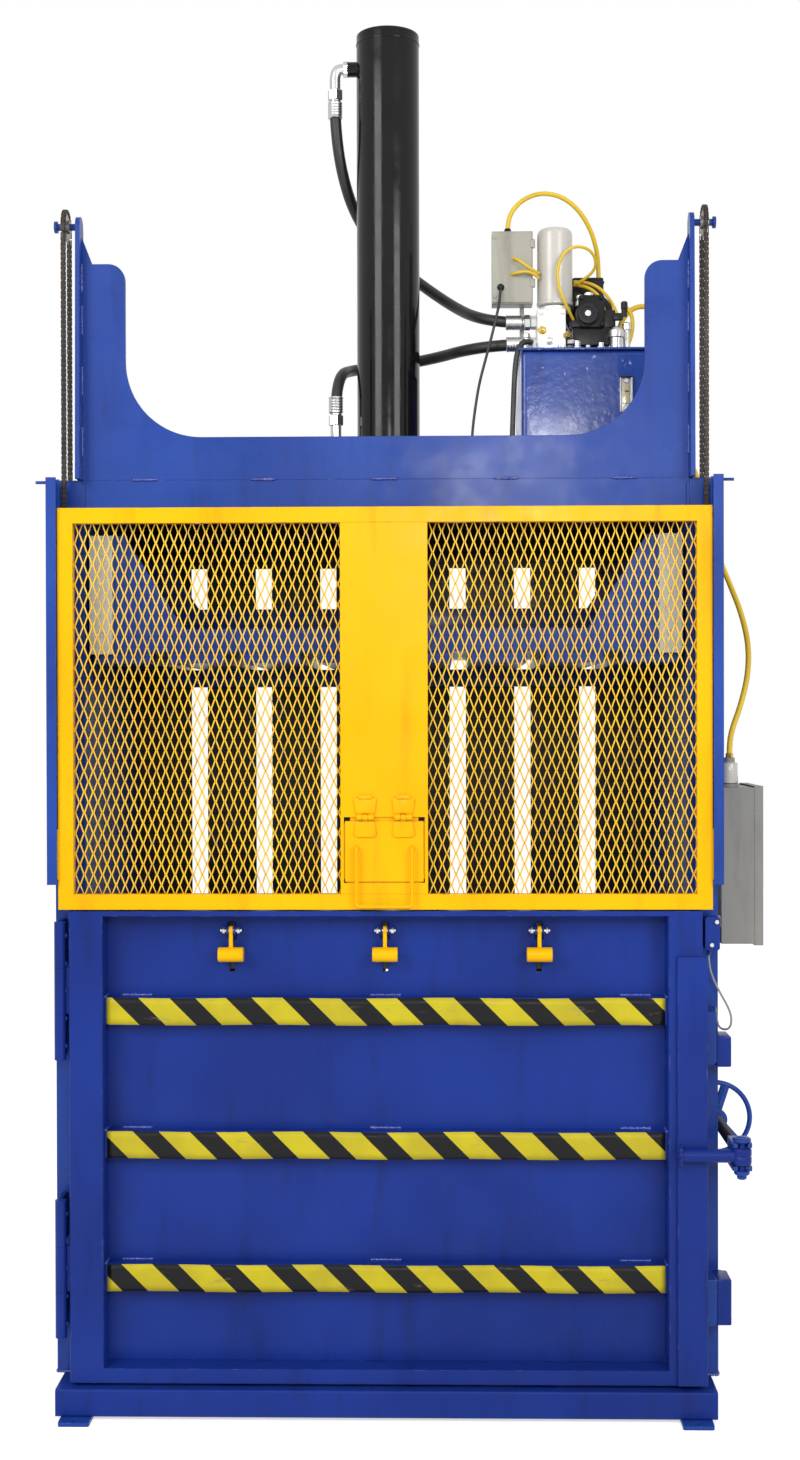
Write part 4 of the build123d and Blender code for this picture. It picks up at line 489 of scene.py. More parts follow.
def strand_tree(material):
    tree, size = new_tree("expanded_metal", Left=0, Low=0, Face=0, DiamondWide=0, DiamondHigh=0, Columns=0,
        Steps=0, StrandWide=0, StrandThick=0)
    count = out(tree, "FunctionNodeFloatToInt", {0: size["Steps"]})
    rise = xyz(tree, z=sum_of(tree, size["DiamondHigh"], 0.5, "MULTIPLY"))
    post = out(tree, "MeshLine", {"Count": count, "Offset": rise})
    reach = sum_of(tree, sum_of(tree, size["DiamondWide"], size["StrandWide"], "SUBTRACT"), 0.25, "MULTIPLY")
    swing = xyz(tree, sum_of(tree, flips(tree), reach, "MULTIPLY"))
    zigzag = out(tree, "SetPosition", {"Geometry": post, "Offset": swing})
    columns = out(tree, "FunctionNodeFloatToInt", {0: size["Columns"]})
    places = out(tree, "MeshLine", {"Count": columns, "Start Location": xyz(tree, size["Left"], size["Face"],
        size["Low"]), "Offset": xyz(tree, sum_of(tree, size["DiamondWide"], 0.5, "MULTIPLY"))})
    grid = out(tree, "InstanceOnPoints", {"Points": places, "Instance": zigzag,
        "Scale": xyz(tree, flips(tree), 1.0, 1.0)})
    lines = out(tree, "RealizeInstances", {0: grid})
    curves = out(tree, "MeshToCurve", {0: lines})
    curves = out(tree, "SetCurveNormal", {"Curve": curves}, mode="Z_UP")
    edge = out(tree, "CurvePrimitiveQuadrilateral", {"Width": size["StrandWide"],
        "Height": size["StrandThick"]})
    bars = out(tree, "CurveToMesh", {"Curve": curves, "Profile Curve": edge, "Fill Caps": True})
    close_tree(tree, bars, material)
    return tree


mesh_yellow = finish("mesh_yellow", (0.92, 0.56, 0.006), (0.82, 0.47, 0.004), 0.34,
    grain=(120.0, 0.2, 0.0006), worn=(0.35, 0.22, 0.05), wear=0.24, grime=(0.3, 0.16, 0.02), dirt=0.45,
    coat=0.2, edge=0.0008)
MESH_EDGES = {"left": (-0.806, -0.108), "right": (0.108, 0.806)}
MESH_LOW, MESH_HIGH, MESH_Y = 1.349, 2.313, -0.505
DIAMOND_WIDE, DIAMOND_HIGH, STRAND_WIDE, STRAND_THICK = 0.0235, 0.0535, 0.0037, 0.003
expanded = strand_tree(mesh_yellow)
for side, (left, right) in MESH_EDGES.items():
    columns = int((right - left) / (DIAMOND_WIDE / 2)) + 1
    steps = int((MESH_HIGH - MESH_LOW) / (DIAMOND_HIGH / 2)) + 1
    panel = grown(f"mesh_panel_{side}", expanded, {"Left": left, "Low": MESH_LOW, "Face": MESH_Y,
        "DiamondWide": DIAMOND_WIDE, "DiamondHigh": DIAMOND_HIGH, "Columns": float(columns),
        "Steps": float(steps), "StrandWide": STRAND_WIDE, "StrandThick": STRAND_THICK}, "gate")
    if side == "left":
        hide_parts("gate_mesh")


# The bench: one working mesh, on which each solid piece from here on is built from rounded blocks,
# turned forms and bent pipes. Turned forms are given in millimetres, as on a drawing.
UP, DOWN, LEFT, RIGHT, FRONT, BACK = (0, 0, 1), (0, 0, -1), (-1, 0, 0), (1, 0, 0), (0, -1, 0), (0, 1, 0)
bench = bmesh.new()


def block(low, high, round_off=0.0, steps=2, at=(0, 0, 0)):
    """A box with rounded edges between two corners, measured from a point."""
    low, high = (Vector([a + b for a, b in zip(at, corner)]) for corner in (low, high))
    made = bmesh.ops.create_cube(bench, size=1)["verts"]
    place = Matrix.Translation((low + high) / 2) @ Matrix.Diagonal((*(high - low), 1))
    bmesh.ops.transform(bench, matrix=place, verts=made)
    if round_off:
        edges = {edge for corner in made for edge in corner.link_edges}
        bmesh.ops.bevel(bench, geom=list(edges), offset=round_off, segments=steps, profile=0.6,
            affect="EDGES")


def around(middle, first, second, sides):
    """Points round a middle, from the first direction towards the second."""
    return [middle + first * cos(tau * k / sides) + second * sin(tau * k / sides) for k in range(sides)]


def skin(rings, inward=False):
    """Joins rings of points one to the next and closes both ends."""
    rings = [[bench.verts.new(point) for point in ring] for ring in rings]
    for a, b in zip(rings, rings[1:]):
        for k in range(len(a)):
            wall = (a[k - 1], a[k], b[k], b[k - 1])
            bench.faces.new(wall[::-1] if inward else wall)
    ends = (rings[0], rings[-1][::-1]) if inward else (rings[0][::-1], rings[-1])
    for end in ends:
        bench.faces.new(end)


def lathe(foot, axis, profile, sides=28, at=(0, 0, 0)):
    """A turned form: each row of the profile is a radius and the heights where it holds, in mm."""
    foot, axis = Vector([a + b for a, b in zip(at, foot)]), Vector(axis).normalized()
    side = axis.orthogonal().normalized()
    other = axis.cross(side)
    rings = [(max(radius, 0.1) / 1000, height / 1000) for radius, *heights in profile for height in heights]
    skin([[foot + axis * height + (side * cos(tau * k / sides) + other * sin(tau * k / sides)) * radius
        for k in range(sides)] for radius, height in rings])


PIPE_SIDES, BEND_STEPS = 16, 8


def bent_pipe(points, radius):
    """A pipe with round bends through a short row of points."""
    path = []
    for a, b, c in zip(points, points[1:], points[2:]):
        a, b, c = Vector(a), Vector(b), Vector(c)
        near, far = b.lerp(a, 0.5 if a != Vector(points[0]) else 0.45), b.lerp(c, 0.5)
        for k in range(BEND_STEPS + 1):
            t = k / BEND_STEPS
            path.append(near * (1 - t) ** 2 + b * 2 * t * (1 - t) + far * t * t)
    path = [Vector(points[0])] + path + [Vector(points[-1])]
    rings, side = [], None
    for k, spot in enumerate(path):
        ahead = (path[min(k + 1, len(path) - 1)] - path[max(k - 1, 0)]).normalized()
        side = (side - ahead * side.dot(ahead)).normalized() if side else ahead.orthogonal().normalized()
        rings.append(around(spot, side * radius, ahead.cross(side) * radius, PIPE_SIDES))
    skin(rings)


def keep(name, material, body="frame", stands_for=None, crease=0.6):
    """Takes what lies on the bench as a finished piece on its body."""
    bmesh.ops.recalc_face_normals(bench, faces=bench.faces)
    mesh = bpy.data.meshes.new(name)
    bench.to_mesh(mesh)
    bench.clear()
    if crease:
        mesh.shade_smooth()
        mesh.set_sharp_from_angle(angle=crease)
    mesh.materials.append(material)
    return carried(placed(name, mesh), body, stands_for)


# Chains: two roller chains a side lift the gate, one from the gate up to the sprocket and one
# down to the weight. Plates of dark oiled steel, joined by pins, turned edge on to the front.
LINK_PITCH, PLATE_T, PLATE_H, CHAIN_W = 0.0127, 0.0014, 0.0116, 0.0125
CHAIN_X, AXLE_Y, AXLE_Z, WRAP_R = 0.836, -0.415, 3.098, 0.04
CHAIN_TOP, GATE_RISE, CHAIN_INSET, WRAP_TAIL = 3.074, 0.86, 0.004, 0.018
oiled_chain = finish("oiled_chain", (0.085, 0.066, 0.054), (0.034, 0.027, 0.023), 0.5, 0.2,
    grain=(300.0, 0.3, 0.0004), worn=(0.2, 0.16, 0.12), wear=0.26, grime=(0.015, 0.009, 0.006), dirt=0.6,
    edge=0.0006, shine=0.25)


def link_plate(middle, along, rise, side, reach, thick):
    """One plate: two round ends joined by a waist, standing on its edge."""
    outline = []
    for k in range(12):
        turn = tau * k / 12
        centre = LINK_PITCH / 2 if cos(turn) > 0.01 else -LINK_PITCH / 2 if cos(turn) < -0.01 else 0
        wide = PLATE_H / 2 * (0.72 if centre == 0 else 1.0)
        outline.append(middle + along * (centre + PLATE_H / 2 * cos(turn) * 0.9) + rise * (wide * sin(turn)))
    skin([[p + side * (reach + half * thick) for p in outline] for half in (-0.5, 0.5)], True)


def roller(middle, rise, along, side, radius, reach):
    points = around(middle, rise * radius, along * radius, 8)
    skin([[p + side * r for p in points] for r in (-reach, reach)], True)


def chain(name, body, spots, stands_for):
    """Inner and outer links in turn along a row of pin centres."""
    side = Vector(RIGHT)
    for k, (a, b) in enumerate(zip(spots, spots[1:])):
        along = (b - a).normalized()
        rise = side.cross(along)
        for s in (-1, 1):
            link_plate((a + b) / 2, along, rise, side * s, CHAIN_W / 2 - (0.0008 if k % 2 else 0.0024),
                PLATE_T)
        link_plate((a + b) / 2, along, rise, side, 0, CHAIN_W * (0.4 if k % 2 else 0.62))
        roller(a, rise, along, side, 0.0019, CHAIN_W / 2 + 0.0006)
        roller(a, rise, along, side, 0.0041, CHAIN_W / 2 - 0.0034)
    return keep(name, oiled_chain, body, stands_for, 0)


def strand(name, body, x, y, node):
    """A straight stretch of chain that hangs where its CAD solid does."""
    low, high = (corner.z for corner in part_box(node))
    first, last = Vector((x, y, low + CHAIN_INSET)), Vector((x, y, high - CHAIN_INSET))
    count = max(1, round((last - first).length / LINK_PITCH))
    return chain(name, body, [first.lerp(last, k / count) for k in range(count + 1)], [node]), low


for side, s in (("left", -1), ("right", 1)):
    x, near, far = s * CHAIN_X, AXLE_Y - WRAP_R, AXLE_Y + WRAP_R
    front, low = strand(f"chain_gate_{side}", "frame", x, near, f"chain_front_{side}")
    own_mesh(front)
    rear, low = strand(f"chain_weight_{side}", None, x, far, f"chain_rear_{side}")
    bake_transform(rear)
    arc = [Vector((x, AXLE_Y - WRAP_R * cos(t), AXLE_Z + WRAP_R * sin(t)))
        for t in [pi * k / 10 for k in range(11)]]
    arc = [Vector((x, near, AXLE_Z - WRAP_TAIL))] + arc + [Vector((x, far, AXLE_Z - WRAP_TAIL))]
    chain(f"chain_wrap_{side}", "frame", arc, ["chain_wraps"] if s < 0 else [])
cut_steel = finish("cut_steel", (0.36, 0.34, 0.32), (0.25, 0.23, 0.21), 0.35, 0.9, grain=(200.0, 0.2, 0.0004),
    worn=(0.6, 0.58, 0.55), wear=0.3, grime=(0.1, 0.07, 0.05), dirt=0.5, edge=0.001)
dress(cut_steel, "sprocket_left", "sprocket_right", "counterweight_left", "counterweight_right")
bright_zinc = finish("bright_zinc", (0.66, 0.66, 0.64), (0.5, 0.5, 0.49), 0.28, 0.95,
    grain=(180.0, 0.15, 0.0004), worn=(0.8, 0.79, 0.76), wear=0.3, grime=(0.2, 0.19, 0.17), dirt=0.4,
    edge=0.001)
dress(bright_zinc, "dog_pins", "flap_pins", "hose_fittings")


# The press cylinder: a honed steel tube with a welded cap, sprayed gloss black, on a square
# flange. Its rod is hard chrome, and the platen hangs from it between white wear pads.
black_gloss = finish("black_gloss_enamel", (0.0075, 0.007, 0.007), (0.005, 0.0045, 0.0045), 0.1,
    grain=(26.0, 0.1, 0.0012), swell=0.22, worn=(0.05, 0.05, 0.05), wear=0.235, grime=(0.01, 0.009, 0.008),
    dirt=0.35, shine=0.22)
dress(black_gloss, "cylinder_tube")
TUBE_R, CAP_SEAM = 89, 3.716
lathe((0, 0, CAP_SEAM - 0.004), UP, [(TUBE_R - 2, 0), (TUBE_R + 1, 1), (TUBE_R + 1.6, 4), (TUBE_R + 1, 7),
    (TUBE_R - 2, 8)], 72)
keep("cap_weld", black_gloss)
BOLT_X, FLANGE_TOP = 0.105, 2.558
for x in (-BOLT_X, BOLT_X):
    for y in (-BOLT_X, BOLT_X):
        spot = (x, y, FLANGE_TOP)
        lathe(spot, UP, [(21, 0, 3)], 24)
        lathe(spot, UP, [(16.5, 3), (17.5, 5, 15), (15, 17)], 6)
        lathe(spot, UP, [(9, 17, 26), (7, 28)], 16)
keep("flange_bolts", bright_zinc)
hard_chrome = finish("hard_chrome", (0.72, 0.73, 0.75), (0.62, 0.63, 0.66), 0.08, 1.0,
    grain=(90.0, 0.05, 0.0003), grime=(0.3, 0.28, 0.24), dirt=0.3)
dress(hard_chrome, "cylinder_rod")
wear_pad = finish("wear_pad", (0.7, 0.69, 0.62), (0.6, 0.58, 0.49), 0.55, grain=(90.0, 0.3, 0.0008),
    worn=(0.42, 0.4, 0.34), wear=0.32, grime=(0.34, 0.3, 0.2), dirt=0.6, edge=0.001)
dress(wear_pad, "platen_pads")


# Hose ends: a forged steel elbow, a swivel nut and a crimped ferrule in zinc plate, screwed to
# the cylinder's ports and to the valve block.
def hose_end(nut_foot, axis, nut_h):
    """Swivel nut, neck and crimped ferrule from the elbow towards the hose, in mm."""
    lathe(nut_foot, axis, [(19.5, 0), (21.5, 2, nut_h - 2), (19.5, nut_h)], 6)
    rows = [(16.5, 0, 4), (20.5, 7)]
    for k in range(5):
        at = 10 + k * (FERRULE_H - 14) / 5
        rows += [(20.8, at), (19.6, at + 3), (20.8, at + 6)]
    rows += [(21.2, FERRULE_H - 2), (19, FERRULE_H)]
    lathe(Vector(nut_foot) + Vector(axis) * (nut_h / 1000), axis, rows)


ELBOW_X, ELBOW_R, FERRULE_H = -0.15, 0.0155, 52
lathe((-0.117, 0, 3.65), LEFT, [(22.5, -4, 8), (20, 10)], 6)
bent_pipe([(-0.112, 0, 3.65), (ELBOW_X, 0, 3.65), (ELBOW_X, 0, 3.586)], ELBOW_R)
hose_end((ELBOW_X, 0, 3.592), DOWN, 30)
lathe((-0.089, 0, 2.585), LEFT, [(22.5, 0, 12), (20, 14)], 6)
bent_pipe([(-0.092, 0, 2.585), (ELBOW_X, 0, 2.585), (ELBOW_X, 0, 2.642)], ELBOW_R)
hose_end((ELBOW_X, 0, 2.638), UP, 30)
keep("cylinder_hose_ends", bright_zinc, stands_for=["hose_fittings"])
PORTS = ((-0.033, 2.921), (-0.07, 2.852))
for y, z in PORTS:
    hose_end((0.402, y, z), LEFT, 18)
keep("valve_hose_ends", bright_zinc)


# The power unit: a welded oil tank in body blue with a sight gauge, an aluminium valve block
# with a spin-on filter, and a finned motor whose pump and solenoid face the front.
TANK_FRONT, TANK_TOP = -0.13, 2.8305
block((0.372, TANK_FRONT, 2.533), (0.742, 0.25, 2.823), 0.016, 4)
block((0.364, -0.138, 2.824), (0.75, 0.258, TANK_TOP), 0.0022, 2)
# The tank's blue is lighter than the body blue as a painted sheen, and its pale spots and rubbed edges are
# partly wear and partly painted reflection streaks.
tank_enamel_and_sheen = finish("tank_enamel_and_sheen", (0.04, 0.095, 0.4), (0.022, 0.06, 0.3), 0.2, grain=(46.0, 0.5, 0.0022),
    swell=0.5, worn=(0.3, 0.36, 0.56), wear=0.33, grime=(0.01, 0.02, 0.11), dirt=0.45, coat=0.2, shine=0.35)
keep("tank_shell", tank_enamel_and_sheen, stands_for=["oil_tank"])
for k in range(5):
    for y in (TANK_FRONT + 0.006, 0.25 - 0.006):
        spot = (0.384 + k * 0.0865, y, TANK_TOP)
        lathe(spot, UP, [(8.5, 0, 1.5)], 18)
        lathe(spot, UP, [(6.2, 1.5), (6.6, 3, 7), (5.5, 8)], 6)
keep("tank_lid_bolts", bright_zinc)
gauge_case = finish("gauge_case", (0.62, 0.62, 0.6), (0.5, 0.5, 0.48), 0.3, 0.4, grain=(150.0, 0.15, 0.0004))
gauge_glass = finish("gauge_glass", (0.62, 0.58, 0.4), (0.54, 0.47, 0.26), 0.06, grain=(40.0, 0.02, 0.0004),
    coat=0.8)
black_plastic = finish("black_plastic", (0.011, 0.011, 0.012), (0.006, 0.006, 0.007), 0.34,
    grain=(260.0, 0.35, 0.0005), worn=(0.06, 0.06, 0.06), wear=0.21, edge=0.001, shine=0.25)
GAUGE, GAUGE_H = (0.661, TANK_FRONT, 2.65), 0.098
block((-0.017, -0.006, 0.002), (0.017, 0, GAUGE_H - 0.002), 0.002, at=GAUGE)
for x in (-0.0155, 0.0155):
    block((x - 0.0022, -0.012, 0), (x + 0.0022, -0.002, GAUGE_H), 0.0012, at=GAUGE)
for z in (0.011, GAUGE_H - 0.011):
    lathe((0, -0.006, z), FRONT, [(7.5, 0, 4), (6.2, 5)], 6, GAUGE)
keep("gauge_case", gauge_case)
block((-0.0095, -0.01, 0.022), (0.0095, -0.004, GAUGE_H - 0.022), 0.003, 3, GAUGE)
keep("gauge_glass", gauge_glass)
block((-0.019, -0.012, GAUGE_H - 0.004), (0.019, 0, GAUGE_H + 0.001), 0.0015, at=GAUGE)
block((-0.004, -0.0115, 0.056), (0.008, -0.009, 0.059), 0.0004, at=GAUGE)
keep("gauge_marks", black_plastic)

valve_alloy = finish("valve_alloy", (0.82, 0.82, 0.8), (0.7, 0.7, 0.68), 0.32, 0.25,
    grain=(140.0, 0.15, 0.0004), worn=(0.55, 0.54, 0.52), wear=0.24, grime=(0.3, 0.27, 0.2), dirt=0.3,
    edge=0.0015)
brass = finish("brass", (0.66, 0.47, 0.14), (0.5, 0.33, 0.09), 0.25, 1.0, grain=(160.0, 0.15, 0.0003),
    grime=(0.2, 0.13, 0.05), dirt=0.4, edge=0.0008)
block((0.418, -0.095, TANK_TOP), (0.498, -0.005, 2.947), 0.004)
lathe((0.47, -0.05, 2.946), UP, [(45, 0, 10), (36, 15)], 40)
for y, z in PORTS[::-1]:
    lathe((0.419, y, z), LEFT, [(19.5, 0, 14), (16, 18)], 6)
for x, z in ((0.489, 2.936), (0.427, 2.936), (0.489, 2.842), (0.427, 2.842)):
    lathe((x, -0.095, z), FRONT, [(5.2, 0, 4.5), (4.5, 5)], 20)
keep("valve_block", valve_alloy, stands_for=["manifold"])
lathe((0.432, -0.0955, 2.885), FRONT, [(13.5, 0, 3), (11.5, 3.2, 10), (8.5, 12)], 6)
lathe((0.432, -0.0955, 2.885), FRONT, [(5.5, 12, 18), (3.5, 20)], 20)
lathe((0.495, -0.08, 2.872), (0.35, -1, 0), [(14, 0, 8), (11, 10, 24), (8, 28)], 6)
keep("valve_plugs", brass)
lathe((0.452, -0.0955, 2.856), FRONT, [(12, 0, 6), (10, 7)], 6)
lathe((0.452, -0.0955, 2.856), FRONT, [(8, 7, 13), (4.5, 15)], 20)
lathe((0.388, -0.1, 2.843), UP, [(10, -12, 4), (7.5, 6, 20), (10, 22, 32), (6, 35)], 6)
keep("valve_fittings", bright_zinc)

filter_white = finish("filter_white", (0.56, 0.53, 0.48), (0.48, 0.45, 0.4), 0.28, grain=(90.0, 0.06, 0.0004),
    worn=(0.5, 0.48, 0.45), wear=0.22, grime=(0.4, 0.37, 0.32), dirt=0.35, coat=0.3, edge=0.001)
CAN_R, CAN_H = 51, 219
wall = [(46, 0), (50.5, 2), (CAN_R, 6, 10), (49.6, 12, 16), (49.4, CAN_H - 30), (49, CAN_H - 20)]
wall += [(49 - 15 * (1 - cos(t)), CAN_H - 18 + 15 * sin(t)) for t in [pi / 2 * k / 6 for k in range(7)]]
wall += [(28, CAN_H - 2.2), (0.1, CAN_H - 2.2)]
lathe((0.47, -0.05, 2.961), UP, wall, 56)
keep("filter_can", filter_white, stands_for=["oil_filter"])


# The motor: die-cast aluminium shell with cooling fins, black enamel, pump and gear head bolted
# to its front; a round solenoid coil with a bright nut stands on the pump.
def fin_tree(material):
    tree, size = new_tree("motor_fins", Count=0, Radius=0, Length=0, Height=0, Thick=0)
    count = out(tree, "FunctionNodeFloatToInt", {0: size["Count"]})
    ring = out(tree, "MeshCircle", {"Vertices": count, "Radius": size["Radius"]})
    fin = out(tree, "MeshCube", {"Size": xyz(tree, size["Height"], size["Thick"], size["Length"])})
    spot = out(tree, "InputPosition")
    turn = out(tree, "FunctionNodeAlignRotationToVector", {"Vector": spot}, axis="X")
    fins = out(tree, "InstanceOnPoints", {"Points": ring, "Instance": fin, "Rotation": turn})
    laid = out(tree, "Transform", {"Geometry": fins, "Rotation": (pi / 2, 0, 0), "Translation": (MOTOR[0],
        MOTOR[1] + 0.005, MOTOR[2])})
    close_tree(tree, laid, material)
    return tree


motor_enamel = finish("motor_enamel", (0.01, 0.01, 0.011), (0.005, 0.005, 0.006), 0.3,
    grain=(90.0, 0.25, 0.0008), worn=(0.22, 0.21, 0.2), wear=0.22, grime=(0.01, 0.009, 0.008), dirt=0.6,
    edge=0.0012, shine=0.18)
MOTOR = (0.572, 0.11, 2.947)
lathe((0, -0.11, 0), BACK, [(40, 0), (62, 2), (69, 8), (70, 24), (65, 26, 190), (70, 192), (71, 210),
    (64, 219), (30, 220)], 48, MOTOR)
block((-0.05, -0.07, TANK_TOP - MOTOR[2]), (0.05, 0.07, -0.04), 0.004, at=MOTOR)
block((-0.045, -0.055, 0.05), (0.045, 0.055, 0.122), 0.007, 3, MOTOR)
block((-0.047, -0.057, 0.105), (0.047, 0.057, 0.11), 0.001, at=MOTOR)
keep("motor_shell", motor_enamel, stands_for=["motor"])
grown("motor_fins", fin_tree(motor_enamel), {"Count": 30.0, "Radius": 0.067, "Length": 0.158, "Height": 0.01,
    "Thick": 0.0026}, "frame")
PUMP = (MOTOR[0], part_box("motor")[0].y + 0.022, MOTOR[2])
lathe((0, -0.11, 0), FRONT, [(50, -2, 12), (43, 16, 24)], 40, MOTOR)
block((-0.037, 0, -0.05), (0.037, MOTOR[1] - 0.13 - PUMP[1], 0.044), 0.009, 3, PUMP)
for x, z in ((-0.028, 0.034), (0.028, 0.034), (-0.028, -0.04), (0.028, -0.04)):
    lathe((x, 0, z), FRONT, [(6.5, 0, 6), (5, 7)], 6, PUMP)
keep("pump_body", motor_enamel)
COIL = Vector((0.56, PUMP[1], 2.935))
lathe(COIL, FRONT, [(34, -4, 2), (29, 4, 14), (27.5, 16), (18, 16.5), (17.5, 13), (10, 13)], 44)
block((0.59, -0.06, 2.9), (0.64, 0.0, 2.95), 0.006, 3)
block((0.512, -0.07, 2.9), (0.545, -0.04, 2.922), 0.004, 3)
block((0.52, -0.06, 2.85), (0.625, -0.01, 2.905), 0.006, 3)
lathe((0.664, -0.06, 2.93), UP, [(8, 0, 20), (9.5, 22, 40), (6, 43)], 20)
block((0.632, -0.068, 2.92), (0.66, -0.05, 2.94), 0.003)
keep("solenoid_coil", black_plastic)
lathe(COIL + Vector((0, -0.013, 0)), FRONT, [(9.5, -2, 3.5), (8, 4.5)], 6)
lathe(COIL + Vector((0, -0.0175, 0)), FRONT, [(4.5, -2, 1.8), (3, 2.8)], 16)
for x, z, r in ((0.542, 2.985, 13), (0.566, 2.992, 15), (0.588, 2.978, 10)):
    lathe((x, -0.045, z - 0.02), UP, [(r, 0, 12), (r * 0.7, 14, 20), (r * 0.85, 21, 28), (r * 0.4, 31)], 6)
lathe((0.64, -0.078, TANK_TOP), UP, [(24, 0, 5), (18, 7, 36), (22, 38, 56), (17, 63), (8, 68)], 32)
lathe((0.596, -0.086, TANK_TOP), UP, [(12, 0, 10), (8, 12, 22)], 6)
lathe((0.53, -0.09, TANK_TOP), UP, [(12, 0, 10), (9, 12, 26)], 6)
lathe((0.505, -0.06, 2.862), RIGHT, [(10, 0, 18), (7, 20, 30)], 6)
lathe((0.671, -0.06, TANK_TOP), UP, [(14, 0, 12), (10, 14, 60), (13, 62, 80), (9, 83)], 6)
keep("pump_fittings", bright_zinc)


# Yellow control leads: thin jacketed wire from the junction box to the coils, bent in free loops
# and held by their plugs.
def jumper(name, points, diameter, material=lead_yellow):
    carried(tube(name, points, diameter, material, 4, 4, 12), "frame")


jumper("jumper_loop", [(0.523, -0.062, 2.918), (0.5, -0.104, 2.95), (0.478, -0.114, 2.992),
    (0.47, -0.118, 3.042), (0.484, -0.12, 3.092), (0.52, -0.114, 3.118), (0.562, -0.1, 3.114),
    (0.586, -0.07, 3.09), (0.584, -0.04, 3.062), (0.556, -0.02, 3.046), (0.534, -0.012, 3.034)], 0.0085)
jumper("jumper_box_high", [(0.352, -0.0755, 3.092), (0.36, -0.098, 3.086), (0.382, -0.108, 3.068),
    (0.404, -0.102, 3.054), (0.424, -0.088, 3.046)], 0.0085)
jumper("jumper_box_low", [(0.346, -0.0755, 3.046), (0.358, -0.096, 3.046), (0.384, -0.104, 3.052),
    (0.406, -0.098, 3.046), (0.424, -0.084, 3.034)], 0.0085)
jumper("jumper_coil_one", [(0.528, 0.006, 3.036), (0.56, -0.006, 3.03), (0.592, -0.024, 3.008),
    (0.606, -0.036, 2.976), (0.61, -0.04, 2.946)], 0.0095)
jumper("jumper_coil_two", [(0.528, 0.014, 3.046), (0.572, 0.004, 3.044), (0.612, -0.014, 3.016),
    (0.634, -0.04, 2.972), (0.644, -0.058, 2.938)], 0.0095)
jumper("jumper_lever", [(0.668, -0.058, 2.958), (0.686, -0.056, 2.942), (0.69, -0.056, 2.908),
    (0.684, -0.058, 2.874), (0.674, -0.06, 2.852)], 0.0115)
jumper("drain_line", [(0.404, -0.104, 2.85), (0.378, -0.116, 2.858), (0.358, -0.124, 2.828),
    (0.352, -0.124, 2.74), (0.348, -0.122, 2.62), (0.345, -0.118, 2.52), (0.345, -0.11, 2.436)], 0.0145,
    hose_rubber)


# The gate's middle panel: a hatch hangs from two pressed hinge leaves with rolled knuckles. A
# strip behind the joint keeps the dust in, so only a dark line shows on its three free sides.
def leaf(x, low, high, half_low, half_high, front, thick, corner):
    """A pressed leaf with rounded corners, wider at one end."""
    rim = []
    for side, height, half, start in ((1, low, half_low, -90), (1, high, half_high, 0),
            (-1, high, half_high, 90), (-1, low, half_low, 180)):
        middle = Vector((x + side * (half - corner), 0, height + (corner if height == low else -corner)))
        for k in range(6):
            angle = radians(start + 90 * k / 5)
            rim.append((middle.x + corner * cos(angle), middle.z + corner * sin(angle)))
    skin([[(x + (px - x) * (1 - inset / half_low), y, pz + (inset if pz < (low + high) / 2 else -inset))
        for px, pz in rim] for y, inset in ((front + thick, 0), (front + 0.0012, 0), (front, 0.0014))])


PANEL_FRONT, PIN_Y, PIN_Z, HATCH_HINGES = -0.52, -0.528, 1.551, (-0.049, 0.049)
LEAF_HALF, LEAF_FRONT, LEAF_T, KNUCKLE = 0.029, PANEL_FRONT - 0.0052, 0.005, 7.8
for x in HATCH_HINGES:
    leaf(x, PIN_Z + 0.0095, PIN_Z + 0.05, LEAF_HALF - 0.003, LEAF_HALF, LEAF_FRONT, LEAF_T, 0.006)
    leaf(x, PIN_Z + 0.047, PIN_Z + 0.057, 0.019, 0.017, PANEL_FRONT - 0.0085, 0.0085, 0.0035)
    for k in (-1, 1):
        lathe((x + k * 0.0074, PIN_Y, PIN_Z), (k, 0, 0), [(KNUCKLE - 1, 0), (KNUCKLE, 1, 14.5),
            (KNUCKLE - 1, 15.5)], 20)
keep("hatch_upper_leaves", gate_yellow, "gate")
for x in HATCH_HINGES:
    leaf(x, PIN_Z - 0.052, PIN_Z - 0.0095, LEAF_HALF, LEAF_HALF - 0.003, LEAF_FRONT, LEAF_T, 0.011)
    lathe((x - 0.0068, PIN_Y, PIN_Z), RIGHT, [(KNUCKLE - 1, 0), (KNUCKLE, 1, 12.6), (KNUCKLE - 1, 13.6)], 20)
keep("hatch_lower_leaves", gate_yellow, "flap")
for left, low, right, high in ((-0.088, 1.534, 0.088, 1.562), (-0.112, 1.376, 0.112, 1.392),
        (-0.112, 1.376, -0.096, 1.536), (0.096, 1.376, 0.112, 1.536)):
    block((left, PANEL_FRONT + 0.0045, low), (right, PANEL_FRONT + 0.006, high))
keep("hatch_dust_strip", gate_yellow, "gate")


# The press head seen through the mesh: the platen's rear upstand and the bar under it, in body
# blue. They cover the tops of the slots.
block((-0.7, 0.398, 2.024), (0.7, 0.41, 2.14), 0.003)
block((-0.7, 0.372, 1.9), (0.7, 0.404, 1.953), 0.006)
keep("platen_upstand", blue_enamel, "press")


